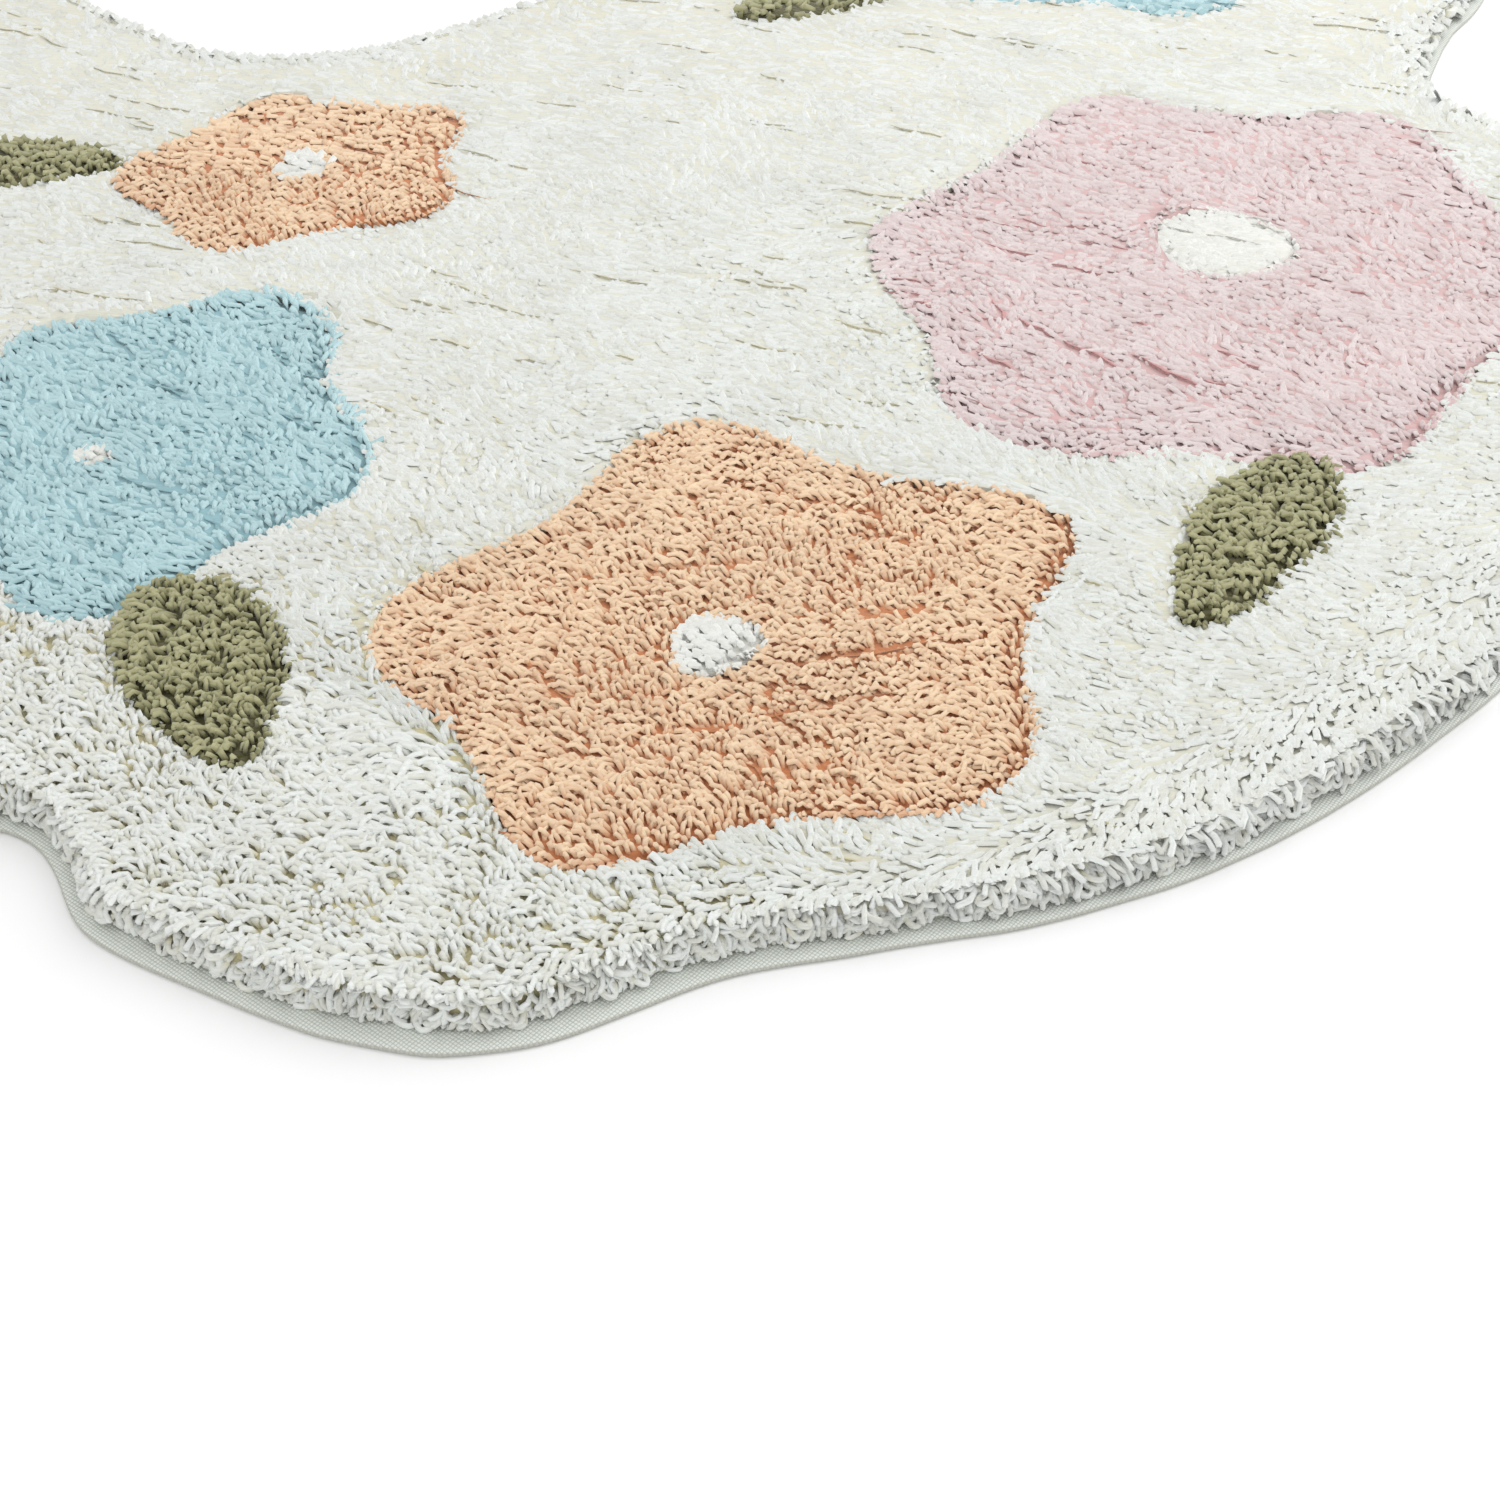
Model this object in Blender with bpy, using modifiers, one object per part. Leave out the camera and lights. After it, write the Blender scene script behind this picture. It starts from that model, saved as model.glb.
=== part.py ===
"""A butterfly-shaped rug for a child's room.

A cut cotton canvas lies flat on the floor. Thick cotton yarn is tufted into it: a cream
ground, flowers in apricot, blue and pink with small white centres, and olive leaves.
The pile is a lumpy slab whose rim ends in short drooping locks over the bare canvas edge.

Metres, +Z up. The origin is on the floor in the middle of the rug. The butterfly's head
points along +Y and its two small tails along -Y.
"""
import math

import bmesh
import bpy
import numpy as np
from mathutils import Matrix, Vector, noise

# ---------------------------------------------------------------- driving dimensions
CANVAS_THICK = 0.002      # the canvas, its hem and the glue that holds the yarn
GAP = 0.0003              # clearance between two pieces that touch
CANVAS_BAND = 0.006       # bare canvas between the pile's bulge and the canvas edge
PILE_TOP = 0.018          # mean height of the ground pile over the floor
SHOULDER = 0.005          # rounding of the pile's outer rim
LUMP_HEIGHT = 0.0036      # how far the pile's clumps rise and sink
LUMP_WIDTH = 0.070        # size of one clump
LOCK_PITCH = 0.031        # one lock of yarn for each such length of rim
LOCK_RADIUS = (0.0084, 0.0042)   # half its height, at its root and at its tip
LOCK_FLATNESS = 1.6       # its width over its height
LOCK_ROOT_DEPTH = 0.0075  # each root starts this far inside the pile's rim
LOCK_ROOT_RISE = 0.0118   # height of the roots over the floor
LOCK_TIP_RISE = 0.0036    # height of the tips' middle over the canvas
LOCK_REACH = 0.0040       # how far the tips stand out of the pile's rim
LOCK_WANDER = 0.22        # how unevenly the locks are spaced, as a share of their pitch
LOCK_SWAY = 0.30          # how far they lean to one side
GROUND_CELL = 0.046       # grid of the clumps on the ground
MOTIF_CELL = 0.033        # grid of the clumps on flowers and leaves
SPARE = 0.02              # how far cutters and guides reach past what they cut

# Right half of the canvas, from the notch between the tails to the notch at the head
HALF_OUTLINE = (
    # x, y
    (0.000, -0.4955),
    (0.0225, -0.512),
    (0.049, -0.547),
    (0.088, -0.572),
    (0.123, -0.586),
    (0.157, -0.596),
    (0.188, -0.600),
    (0.221, -0.594),
    (0.252, -0.578),
    (0.285, -0.5635),
    (0.335, -0.552),
    (0.387, -0.5405),
    (0.441, -0.5206),
    (0.500, -0.4864),
    (0.544, -0.4516),
    (0.602, -0.398),
    (0.694, -0.300),
    (0.766, -0.190),
    (0.796, -0.070),
    (0.766, 0.050),
    (0.706, 0.140),
    (0.728, 0.225),
    (0.786, 0.330),
    (0.800, 0.445),
    (0.748, 0.556),
    (0.640, 0.600),
    (0.505, 0.577),
    (0.365, 0.500),
    (0.235, 0.385),
    (0.130, 0.275),
    (0.056, 0.212),
    (0.000, 0.196),
)

FLOWERS = (
    # name, yarn, (centre x, y, radius, petals, petal depth, turn, stretch, along), (eye x, y, radius)
    ("front_mid", "blue", (0.011, -0.248, 0.112, 5, 0.098, 57, 0.10, 90), (-0.004, -0.2655, 0.0075)),
    ("front_right", "apricot", (0.284, -0.392, 0.132, 5, 0.112, 29, 0.07, 39), (0.276, -0.403, 0.0175)),
    ("right", "pink", (0.533, -0.080, 0.182, 6, 0.073, 48, 0.12, 63), (0.538, -0.062, 0.038)),
    ("front_left", "pink", (-0.300, -0.385, 0.128, 5, 0.110, 50, 0.05, 120), (-0.295, -0.380, 0.020)),
    ("left", "apricot", (-0.560, -0.060, 0.160, 6, 0.090, 20, 0.06, 100), (-0.552, -0.062, 0.032)),
    ("head_right", "blue", (0.530, 0.390, 0.140, 5, 0.110, 75, 0.04, 30), (0.526, 0.386, 0.018)),
    ("head_left", "pink", (-0.530, 0.385, 0.142, 5, 0.112, 10, 0.05, 160), (-0.526, 0.391, 0.020)),
    ("middle", "apricot", (0.040, 0.030, 0.092, 5, 0.110, 40, 0.05, 60), (0.042, 0.027, 0.013)),
)

LEAVES = (
    # name, (middle x, y, length, width, heading of its blunt end)
    ("front_mid", (0.0745, -0.4145, 0.129, 0.068, 112)),
    ("right", (0.505, -0.328, 0.149, 0.060, 57)),
    ("front_left", (-0.160, -0.300, 0.130, 0.062, 215)),
    ("left", (-0.470, -0.255, 0.140, 0.062, 120)),
    ("head_right", (0.338, 0.280, 0.135, 0.062, 35)),
    ("head_left", (-0.348, 0.268, 0.135, 0.062, 148)),
    ("middle", (-0.122, 0.030, 0.120, 0.058, 8)),
)

PETAL_RISE = 0.0006       # the motifs stand a little over the ground
LEAF_RISE = 0.0020

# Base colour of each yarn, and of the canvas
COLOURS = {
    "canvas": (0.58, 0.56, 0.49),
    "cream": (0.86, 0.83, 0.74),
    "white": (0.88, 0.88, 0.84),
    "apricot": (0.75, 0.40, 0.20),
    "blue": (0.33, 0.54, 0.58),
    "pink": (0.76, 0.50, 0.52),
    "olive": (0.24, 0.22, 0.11),
}


# ---------------------------------------------------------------- outlines
def smooth_loop(points, steps=8):
    """A closed smooth curve through the points, as an array of (x, y)."""
    knots = np.array(points)
    after = np.roll(knots, -1, axis=0)
    before = np.roll(knots, 1, axis=0)
    span = np.linalg.norm(after - knots, axis=1)
    span_before = np.roll(span, 1)
    slope = (after - before) / (span + span_before)[:, None]
    slope_after = np.roll(slope, -1, axis=0)
    rows = []
    for step in range(steps):
        t = step / steps
        rows.append(
            (2 * t**3 - 3 * t**2 + 1) * knots
            + (t**3 - 2 * t**2 + t) * slope * span[:, None]
            + (3 * t**2 - 2 * t**3) * after
            + (t**3 - t**2) * slope_after * span[:, None]
        )
    return np.stack(rows, axis=1).reshape(-1, 2)


def thin_loop(loop, turn_deg=10, longest=0.055):
    """Keeps a point wherever the loop has turned or run on far enough."""
    kept = [loop[0]]
    heading = math.atan2(*(loop[1] - loop[0])[::-1])
    for here, ahead in zip(loop[1:-1], loop[2:]):
        new_heading = math.atan2(*(ahead - here)[::-1])
        turned = abs((new_heading - heading + math.pi) % (2 * math.pi) - math.pi)
        if math.degrees(turned) > turn_deg or np.linalg.norm(here - kept[-1]) > longest:
            kept.append(here)
            heading = new_heading
    return np.array(kept)


def outward(loop):
    """The unit normals of an anticlockwise loop."""
    along = np.roll(loop, -1, axis=0) - np.roll(loop, 1, axis=0)
    normal = np.stack([along[:, 1], -along[:, 0]], axis=1)
    return normal / np.linalg.norm(normal, axis=1)[:, None]


def grown(loop, distance):
    return loop + outward(loop) * distance


def canvas_loop():
    right = list(HALF_OUTLINE)
    left = [(-x, y) for x, y in reversed(right[1:-1])]
    return smooth_loop(right + left)


def flower_loop(x, y, radius, petals, depth, turn, stretch, along):
    """Round petals about a centre, drawn out a little along one heading."""
    angle = np.linspace(0, 2 * math.pi, 40 * petals, endpoint=False)
    reach = radius * (1 + depth * np.cos(petals * (angle - math.radians(turn))))
    heading = math.radians(along)
    ahead = reach * np.cos(angle - heading) * (1 + stretch)
    aside = reach * np.sin(angle - heading) / (1 + stretch)
    return np.stack([
        x + ahead * math.cos(heading) - aside * math.sin(heading),
        y + ahead * math.sin(heading) + aside * math.cos(heading),
    ], axis=1)


def eye_loop(x, y, radius):
    angle = np.linspace(0, 2 * math.pi, 10, endpoint=False)
    reach = radius * (1 + 0.08 * np.cos(3 * angle))
    return np.stack([x + reach * np.cos(angle), y + reach * np.sin(angle)], axis=1)


def leaf_loop(x, y, length, width, heading):
    """A leaf, blunt at its head and drawn to a soft point at its foot."""
    angle = np.linspace(0, 2 * math.pi, 160, endpoint=False)
    along = np.cos(angle)
    narrowing = 0.82 + 0.18 * np.tanh(2.2 * along + 1.0)
    across = np.sin(angle) * narrowing
    turn = math.radians(heading)
    ahead = along * length / 2
    aside = across * width / 2
    return np.stack([
        x + ahead * math.cos(turn) - aside * math.sin(turn),
        y + ahead * math.sin(turn) + aside * math.cos(turn),
    ], axis=1)


# ---------------------------------------------------------------- building helpers
def clear_scene():
    for item in list(bpy.data.objects):
        bpy.data.objects.remove(item, do_unlink=True)


def new_collection(name):
    made = bpy.data.collections.new(name)
    bpy.context.scene.collection.children.link(made)
    return made


def yarn_material(name, colour):
    made = bpy.data.materials.new(name)
    made.use_nodes = True
    shader = made.node_tree.nodes["Principled BSDF"]
    shader.inputs["Base Color"].default_value = (*colour, 1)
    shader.inputs["Roughness"].default_value = 0.95
    shader.inputs["Metallic"].default_value = 0.0
    return made


def as_guide(item):
    item.hide_render = True
    item.display_type = "WIRE"


def slab(name, loops, bottom, top, collection, rounding=0.0):
    """A flat slab of the loops' shape; the second and later loops are holes in it."""
    flat = bpy.data.curves.new(name, "CURVE")
    flat.dimensions = "2D"
    flat.fill_mode = "BOTH"
    flat.extrude = (top - bottom) / 2 - rounding
    flat.bevel_depth = rounding
    flat.bevel_resolution = 0
    for index, loop in enumerate(loops):
        pulled = grown(loop, rounding if index else -rounding)
        line = flat.splines.new("POLY")
        line.points.add(len(pulled) - 1)
        for point, (x, y) in zip(line.points, pulled):
            point.co = (x, y, 0, 1)
        line.use_cyclic_u = True
    curve = bpy.data.objects.new(name + "_outline", flat)
    curve.location.z = (top + bottom) / 2
    collection.objects.link(curve)
    bpy.context.view_layer.update()
    evaluated = curve.evaluated_get(bpy.context.evaluated_depsgraph_get())
    mesh = bpy.data.meshes.new_from_object(evaluated)
    mesh.name = name
    work = bmesh.new()
    work.from_mesh(mesh)
    bmesh.ops.remove_doubles(work, verts=work.verts, dist=1e-6)
    bmesh.ops.recalc_face_normals(work, faces=work.faces)
    work.to_mesh(mesh)
    work.free()
    made = bpy.data.objects.new(name, mesh)
    made.matrix_world = curve.matrix_world.copy()
    collection.objects.link(made)
    bpy.data.objects.remove(curve, do_unlink=True)
    return made


def combine(item, other, operation):
    cut = item.modifiers.new(operation.title(), "BOOLEAN")
    cut.operation = operation
    cut.solver = "EXACT"
    if isinstance(other, bpy.types.Collection):
        cut.operand_type = "COLLECTION"
        cut.collection = other
    else:
        cut.object = other


def clump_height(x, y, layer):
    """The rise of the pile's clumps over its mean height at one place."""
    broad = noise.noise(Vector((x / LUMP_WIDTH, y / LUMP_WIDTH, layer)))
    fine = noise.noise(Vector((x * 2.3 / LUMP_WIDTH, y * 2.3 / LUMP_WIDTH, layer + 9.5)))
    return LUMP_HEIGHT * (broad + 0.5 * fine)


def blanket(name, loop, top, cell, layer, guides):
    """A thick lumpy sheet over a loop, whose upper side is the pile's upper side."""
    low = loop.min(axis=0) - SPARE
    high = loop.max(axis=0) + SPARE
    columns, rows = np.ceil((high - low) / cell).astype(int)
    work = bmesh.new()
    bmesh.ops.create_grid(work, x_segments=int(columns), y_segments=int(rows), size=0.5)
    for point in work.verts:
        point.co.x = low[0] + (point.co.x + 0.5) * (high[0] - low[0])
        point.co.y = low[1] + (point.co.y + 0.5) * (high[1] - low[1])
        point.co.z = top + clump_height(point.co.x, point.co.y, layer)
    mesh = bpy.data.meshes.new(name)
    work.to_mesh(mesh)
    work.free()
    made = bpy.data.objects.new(name, mesh)
    guides.objects.link(made)
    thick = made.modifiers.new("Thickness", "SOLIDIFY")
    thick.thickness = PILE_TOP + SPARE
    thick.offset = -1
    as_guide(made)
    return made


# ---------------------------------------------------------------- the locks at the rim
def rim_locks(rim, guides):
    """Tapered four-sided locks of yarn that droop from the pile's rim over the canvas."""
    work = bmesh.new()
    ahead = np.roll(rim, -1, axis=0)
    lengths = np.linalg.norm(ahead - rim, axis=1)
    total = lengths.sum()
    count = int(total / LOCK_PITCH)
    reached = np.concatenate([[0], np.cumsum(lengths)])
    closed = np.vstack([rim, rim[:1]])
    facing = outward(rim)
    normals = np.vstack([facing, facing[:1]])
    for number in range(count):
        wander = LOCK_WANDER * noise.noise(Vector((number * 0.73, 4.1, 0.3)))
        place = total * (number + 0.5 + wander) / count
        foot = np.array([np.interp(place, reached, closed[:, axis]) for axis in (0, 1)])
        side = np.array([np.interp(place, reached, normals[:, axis]) for axis in (0, 1)])
        side /= np.linalg.norm(side)
        sway = LOCK_SWAY * noise.noise(Vector((number * 0.91, 0.5, 7.7)))
        lean = np.array([side[0] - sway * side[1], side[1] + sway * side[0]])
        root = Vector((*(foot - lean * LOCK_ROOT_DEPTH), LOCK_ROOT_RISE))
        tip = Vector((*(foot + lean * LOCK_REACH), CANVAS_THICK + LOCK_TIP_RISE))
        axis = tip - root
        turn = axis.to_track_quat("Z", "Y").to_matrix().to_4x4()
        spread = Matrix.Diagonal((LOCK_FLATNESS, 1, 1, 1))
        square_up = Matrix.Rotation(math.radians(45), 4, "Z")
        bmesh.ops.create_cone(
            work, cap_ends=True, segments=4,
            radius1=LOCK_RADIUS[0], radius2=LOCK_RADIUS[1], depth=axis.length,
            matrix=Matrix.Translation((root + tip) / 2) @ turn @ spread @ square_up,
        )
    mesh = bpy.data.meshes.new("rim_locks")
    work.to_mesh(mesh)
    work.free()
    made = bpy.data.objects.new("rim_locks", mesh)
    guides.objects.link(made)
    as_guide(made)
    return made


# ---------------------------------------------------------------- the rug
def build():
    clear_scene()
    rug = new_collection("butterfly_rug")
    guides = new_collection("guides")
    ground_cutters = new_collection("ground_cutters")
    leaf_cutters = new_collection("leaf_cutters")
    yarn = {name: yarn_material(name, colour) for name, colour in COLOURS.items()}
    bottom = CANVAS_THICK + GAP
    edge = canvas_loop()

    canvas = slab("canvas_backing", [thin_loop(edge)], 0, CANVAS_THICK, rug)
    canvas.data.materials.append(yarn["canvas"])

    def cutter(name, loop, collection):
        made = slab(name, [grown(loop, GAP)], bottom - SPARE, PILE_TOP + SPARE, collection)
        as_guide(made)
        return made

    def field(name, colour, loops, rise, cell, layer, rounding=0.0):
        top = PILE_TOP + rise
        made = slab(name, loops, bottom, top + LUMP_HEIGHT, rug, rounding)
        made.data.materials.append(yarn[colour])
        over = blanket(name + "_clumps", loops[0], top, cell, layer, guides)
        return made, over

    for layer, (name, sizes) in enumerate(LEAVES):
        loop = thin_loop(leaf_loop(*sizes), turn_deg=20)
        leaf, over = field("leaf_" + name, "olive", [loop], LEAF_RISE, MOTIF_CELL, 20 + layer)
        combine(leaf, over, "INTERSECT")
        cutter("leaf_hole_" + name, loop, leaf_cutters)
        cutter("ground_leaf_hole_" + name, loop, ground_cutters)

    for layer, (name, colour, sizes, eye_sizes) in enumerate(FLOWERS):
        loop = thin_loop(flower_loop(*sizes), turn_deg=14)
        eye = eye_loop(*eye_sizes)
        flower, over = field(
            "petals_" + name, colour, [loop, grown(eye, GAP)], PETAL_RISE, MOTIF_CELL, 40 + layer)
        combine(flower, leaf_cutters, "DIFFERENCE")
        combine(flower, over, "INTERSECT")
        centre, over = field("centre_" + name, "white", [eye], PETAL_RISE, MOTIF_CELL, 60 + layer)
        combine(centre, over, "INTERSECT")
        cutter("ground_flower_hole_" + name, loop, ground_cutters)

    rim = grown(edge, -CANVAS_BAND)
    ground, over = field(
        "cream_pile", "cream", [thin_loop(rim)], 0, GROUND_CELL, 0, rounding=SHOULDER)
    combine(ground, ground_cutters, "DIFFERENCE")
    combine(ground, over, "INTERSECT")
    combine(ground, rim_locks(rim, guides), "UNION")


build()
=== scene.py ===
# %% [markdown]
# # A tufted cotton rug for a child's room
#
# The real rug is made in three steps. A maker cuts a cotton canvas to the outline, here a
# butterfly. A tufting gun then shoots thick soft cotton yarn through it, colour by colour, and
# the loops are cut open so that the yarn stands up as pile. Last, glue and a turned hem finish
# the back and the edge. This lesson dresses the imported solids, and starts with what shows most:
# it fills the motifs and the ground with yarn, then lays the lively rim, and last comes the
# canvas. Every length is in metres and the rug lies on the floor at z = 0.

import math

import bmesh
import bpy
import numpy as np
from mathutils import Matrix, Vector
from mathutils.bvhtree import BVHTree


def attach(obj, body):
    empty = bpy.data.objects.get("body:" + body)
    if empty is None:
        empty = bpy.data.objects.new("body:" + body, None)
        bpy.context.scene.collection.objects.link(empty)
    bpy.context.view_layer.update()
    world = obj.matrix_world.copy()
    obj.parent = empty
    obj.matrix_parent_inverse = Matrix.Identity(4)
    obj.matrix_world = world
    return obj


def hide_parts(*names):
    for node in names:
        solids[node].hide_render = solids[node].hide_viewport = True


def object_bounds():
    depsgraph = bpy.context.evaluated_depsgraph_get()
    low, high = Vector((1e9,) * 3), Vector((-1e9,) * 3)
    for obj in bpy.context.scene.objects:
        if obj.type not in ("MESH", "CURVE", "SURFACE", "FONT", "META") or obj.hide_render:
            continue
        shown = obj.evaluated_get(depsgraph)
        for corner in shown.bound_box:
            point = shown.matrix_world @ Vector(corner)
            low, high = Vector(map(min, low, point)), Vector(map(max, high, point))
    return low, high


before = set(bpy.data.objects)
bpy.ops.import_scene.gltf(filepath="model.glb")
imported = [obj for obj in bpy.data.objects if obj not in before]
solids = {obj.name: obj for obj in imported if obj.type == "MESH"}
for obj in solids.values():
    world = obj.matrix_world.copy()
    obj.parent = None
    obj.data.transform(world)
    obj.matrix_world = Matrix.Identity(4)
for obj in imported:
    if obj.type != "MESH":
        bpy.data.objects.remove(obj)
cad_box = [list(corner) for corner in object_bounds()]
print("solids:", len(solids), "box:", [[round(c, 4) for c in corner] for corner in cad_box])

# %% [markdown]
# ## The camera
#
# The photograph looks down on one edge of the rug from half a metre above the floor. Its frame
# is a square, and its lens sees about 40 degrees. The camera comes first because the pile is
# made finest where the camera comes closest, the way a modeller saves faces for what shows.

# %% Camera
PHOTO_SIDE = 1500             # the photograph's width and height in its own pixels
FOCAL_PIXELS = 2040           # distance from the lens to the picture, in those pixels
SENSOR = 36.0                 # width of the film in millimetres
CAMERA_PLACE = Vector((0.289, -1.041, 0.524))
CAMERA_TILT = math.radians(48.7)
PILE_TOP = 0.017              # about how high the pile's ends lie above the floor

lens = bpy.data.cameras.new("photo_lens")
lens.sensor_width = SENSOR
lens.lens = SENSOR * FOCAL_PIXELS / PHOTO_SIDE
camera = bpy.data.objects.new("camera", lens)
camera.location = CAMERA_PLACE
camera.rotation_euler = (CAMERA_TILT, 0, 0)
bpy.context.scene.collection.objects.link(camera)
bpy.context.scene.camera = camera


def in_photo(points):
    """Where points (x, y, z) fall in the photograph, in its pixels, and how far off they are."""
    away = points - np.array(CAMERA_PLACE)
    ahead = away[:, 1] * math.sin(CAMERA_TILT) - away[:, 2] * math.cos(CAMERA_TILT)
    above = away[:, 1] * math.cos(CAMERA_TILT) + away[:, 2] * math.sin(CAMERA_TILT)
    ahead = np.maximum(ahead, 0.05)
    column = PHOTO_SIDE / 2 + FOCAL_PIXELS * away[:, 0] / ahead
    row = PHOTO_SIDE / 2 - FOCAL_PIXELS * above / ahead
    return column, row, np.linalg.norm(away, axis=1)


def on_rug(column, row):
    """The place (x, y) on top of the pile that a pixel of the photograph shows."""
    right = (column - PHOTO_SIDE / 2) / FOCAL_PIXELS
    above = (PHOTO_SIDE / 2 - row) / FOCAL_PIXELS
    ahead = math.sin(CAMERA_TILT) + above * math.cos(CAMERA_TILT)
    down = above * math.sin(CAMERA_TILT) - math.cos(CAMERA_TILT)
    reach = (PILE_TOP - CAMERA_PLACE.z) / down
    return np.array([CAMERA_PLACE.x + right * reach, CAMERA_PLACE.y + ahead * reach])


photo_middle = on_rug(PHOTO_SIDE / 2, PHOTO_SIDE / 2).round(3)
print("lens", round(lens.lens, 2), "mm; the photo's middle shows the rug at", photo_middle)

# %% [markdown]
# ## Outlines, read from the solids
#
# The solids already hold every outline: the canvas, the petals, their small centres and the
# leaves. Each lies flat on its underside, so the edges that only one underside face uses are its
# outline. A smooth curve through those few corners gives back the round shape that was meant.

# %% Outlines
def underside_outline(name):
    """The longest loop round a solid's flat underside, anticlockwise, as (x, y) rows."""
    mesh = solids[name].data
    corners = np.round([v.co[:] for v in mesh.vertices], 6)
    places, number = np.unique(corners, axis=0, return_inverse=True)
    number = number.ravel()
    floor = places[:, 2].min() + 1e-5
    edges = set()
    for face in mesh.polygons:
        ring = [int(number[i]) for i in face.vertices]
        if max(places[c][2] for c in ring) < floor:
            edges.update(zip(ring, ring[1:] + ring[:1]))
    after = {a: b for a, b in edges if (b, a) not in edges}
    loops = []
    while after:
        start, here = after.popitem()
        loop = [start]
        while here != start:
            loop.append(here)
            here = after.pop(here)
        loops.append(places[loop, :2])
    widest = max(loops, key=lambda loop: abs(flat_area(loop)))
    return widest if flat_area(widest) > 0 else widest[::-1]


def flat_area(loop):
    """The area inside a loop, negative if it runs clockwise."""
    ahead = np.roll(loop, -1, axis=0)
    return float(np.sum(loop[:, 0] * ahead[:, 1] - loop[:, 1] * ahead[:, 0]) / 2)


def smooth_loop(knots, step):
    """A closed smooth curve through the corners, with a point about every step."""
    after = np.roll(knots, -1, axis=0)
    span = np.linalg.norm(after - knots, axis=1)
    before_span = np.roll(span, 1)
    slope = (after - np.roll(knots, 1, axis=0)) / (span + before_span)[:, None]
    slope_after = np.roll(slope, -1, axis=0)
    rows = []
    for k in range(len(knots)):
        count = max(1, int(round(span[k] / step)))
        t = np.arange(count)[:, None] / count
        rows.append(
            (2 * t**3 - 3 * t**2 + 1) * knots[k]
            + (t**3 - 2 * t**2 + t) * slope[k] * span[k]
            + (3 * t**2 - 2 * t**3) * after[k]
            + (t**3 - t**2) * slope_after[k] * span[k]
        )
    return np.concatenate(rows)


print("corners in the canvas outline:", len(underside_outline("canvas_backing")))


# %% [markdown]
# The tufting gun and the scissors are held by hand and stray from the drawing here and there, by
# up to a finger's width. Where the photograph shows that, a smooth push moves the outline. It is
# strongest in its middle and gone a little further off, as with a sculpting brush that grabs.

# %% Outlines as a hand drew them
def unit(vectors):
    """The same ways, each of length one."""
    return vectors / (np.linalg.norm(vectors, axis=-1, keepdims=True) + 1e-12)


def outward(loop):
    """Unit normals of an anticlockwise loop."""
    along = np.roll(loop, -1, axis=0) - np.roll(loop, 1, axis=0)
    return unit(np.stack([along[:, 1], -along[:, 0]], axis=1))


STRAYS = (
    # middle x, y of the place, push in x, in y, size of the place
    (0.266, -0.250, 0.000, 0.016, 0.050),
    (0.232, -0.270, 0.000, 0.005, 0.030),
    (0.345, -0.280, 0.002, 0.006, 0.040),
    (0.425, -0.325, 0.008, 0.007, 0.040),
    (0.405, -0.430, -0.003, 0.000, 0.035),
    (0.185, -0.500, 0.007, 0.007, 0.045),
    (0.168, -0.455, -0.003, 0.002, 0.030),
    (0.292, -0.398, 0.001, 0.006, 0.022),
    (0.030, -0.125, 0.000, 0.016, 0.042),
    (-0.036, -0.140, 0.000, -0.014, 0.032),
    (0.080, -0.210, -0.005, 0.000, 0.030),
    (0.072, -0.315, 0.000, -0.005, 0.035),
    (0.610, -0.235, -0.003, 0.003, 0.050),
    (0.482, -0.378, 0.007, 0.004, 0.020),
    (0.520, -0.362, -0.001, 0.005, 0.022),
    (0.106, -0.452, -0.001, -0.004, 0.024),
    (0.015, -0.520, 0.006, 0.009, 0.035),
    (0.075, -0.570, 0.000, 0.008, 0.060),
)


def stray(points):
    """Points moved to where a hand strayed from the drawn outline."""
    moved = points.copy()
    for x, y, push_x, push_y, size in STRAYS:
        share = np.exp(-((points[:, 0] - x)**2 + (points[:, 1] - y)**2) / size**2)
        moved += share[:, None] * (push_x, push_y)
    return moved


CANVAS_BAND = 0.006           # bare canvas between the pile and the canvas edge
canvas_edge = stray(smooth_loop(underside_outline("canvas_backing"), 0.005))
pile_rim = canvas_edge - outward(canvas_edge) * CANVAS_BAND
leaves = sorted(name for name in solids if name.startswith("leaf_"))
flowers = sorted(name for name in solids if name.startswith("petals_"))
centres = sorted(name for name in solids if name.startswith("centre_"))
outlines = {name: stray(smooth_loop(underside_outline(name), 0.004))
            for name in leaves + flowers + centres}
print("canvas area", round(flat_area(canvas_edge), 3), "m2; motifs:", len(outlines))

# %% [markdown]
# ## Even and uneven
#
# Hand-guided tufting is regular in its rows and irregular in everything else. A few helpers serve
# the rest of the lesson. The first gives smooth drifting numbers, which make neighbouring yarns
# agree with each other. It blends random numbers that stand at the corners of a grid.

# %% Drifting numbers
LATTICE = 256


def drift(x, y, size, seed):
    """Smooth numbers from -1 to 1 that change over about one size."""
    values = np.random.default_rng(seed).uniform(-1, 1, (LATTICE, LATTICE))
    u = x / size + LATTICE * 2.5
    v = y / size + LATTICE * 2.5
    i = np.floor(u).astype(int)
    j = np.floor(v).astype(int)
    s = u - i
    t = v - j
    s = s * s * (3 - 2 * s)
    t = t * t * (3 - 2 * t)
    i, j = i % LATTICE, j % LATTICE
    right, up = (i + 1) % LATTICE, (j + 1) % LATTICE
    low = values[i, j] * (1 - s) + values[right, j] * s
    high = values[i, up] * (1 - s) + values[right, up] * s
    return low * (1 - t) + high * t


print("drift, from one place to the next:", drift(np.arange(4) * 0.3, np.zeros(4), 1, 1).round(2))

# %% [markdown]
# The others tell what lies inside an outline, how near to its edge, and how high and how steep the
# upper side of a solid is there, which a ray finds that is cast straight down.

# %% Inside, edge, height and slope
STEEPEST = 0.7                # no end of yarn follows a steeper slope than this


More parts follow.
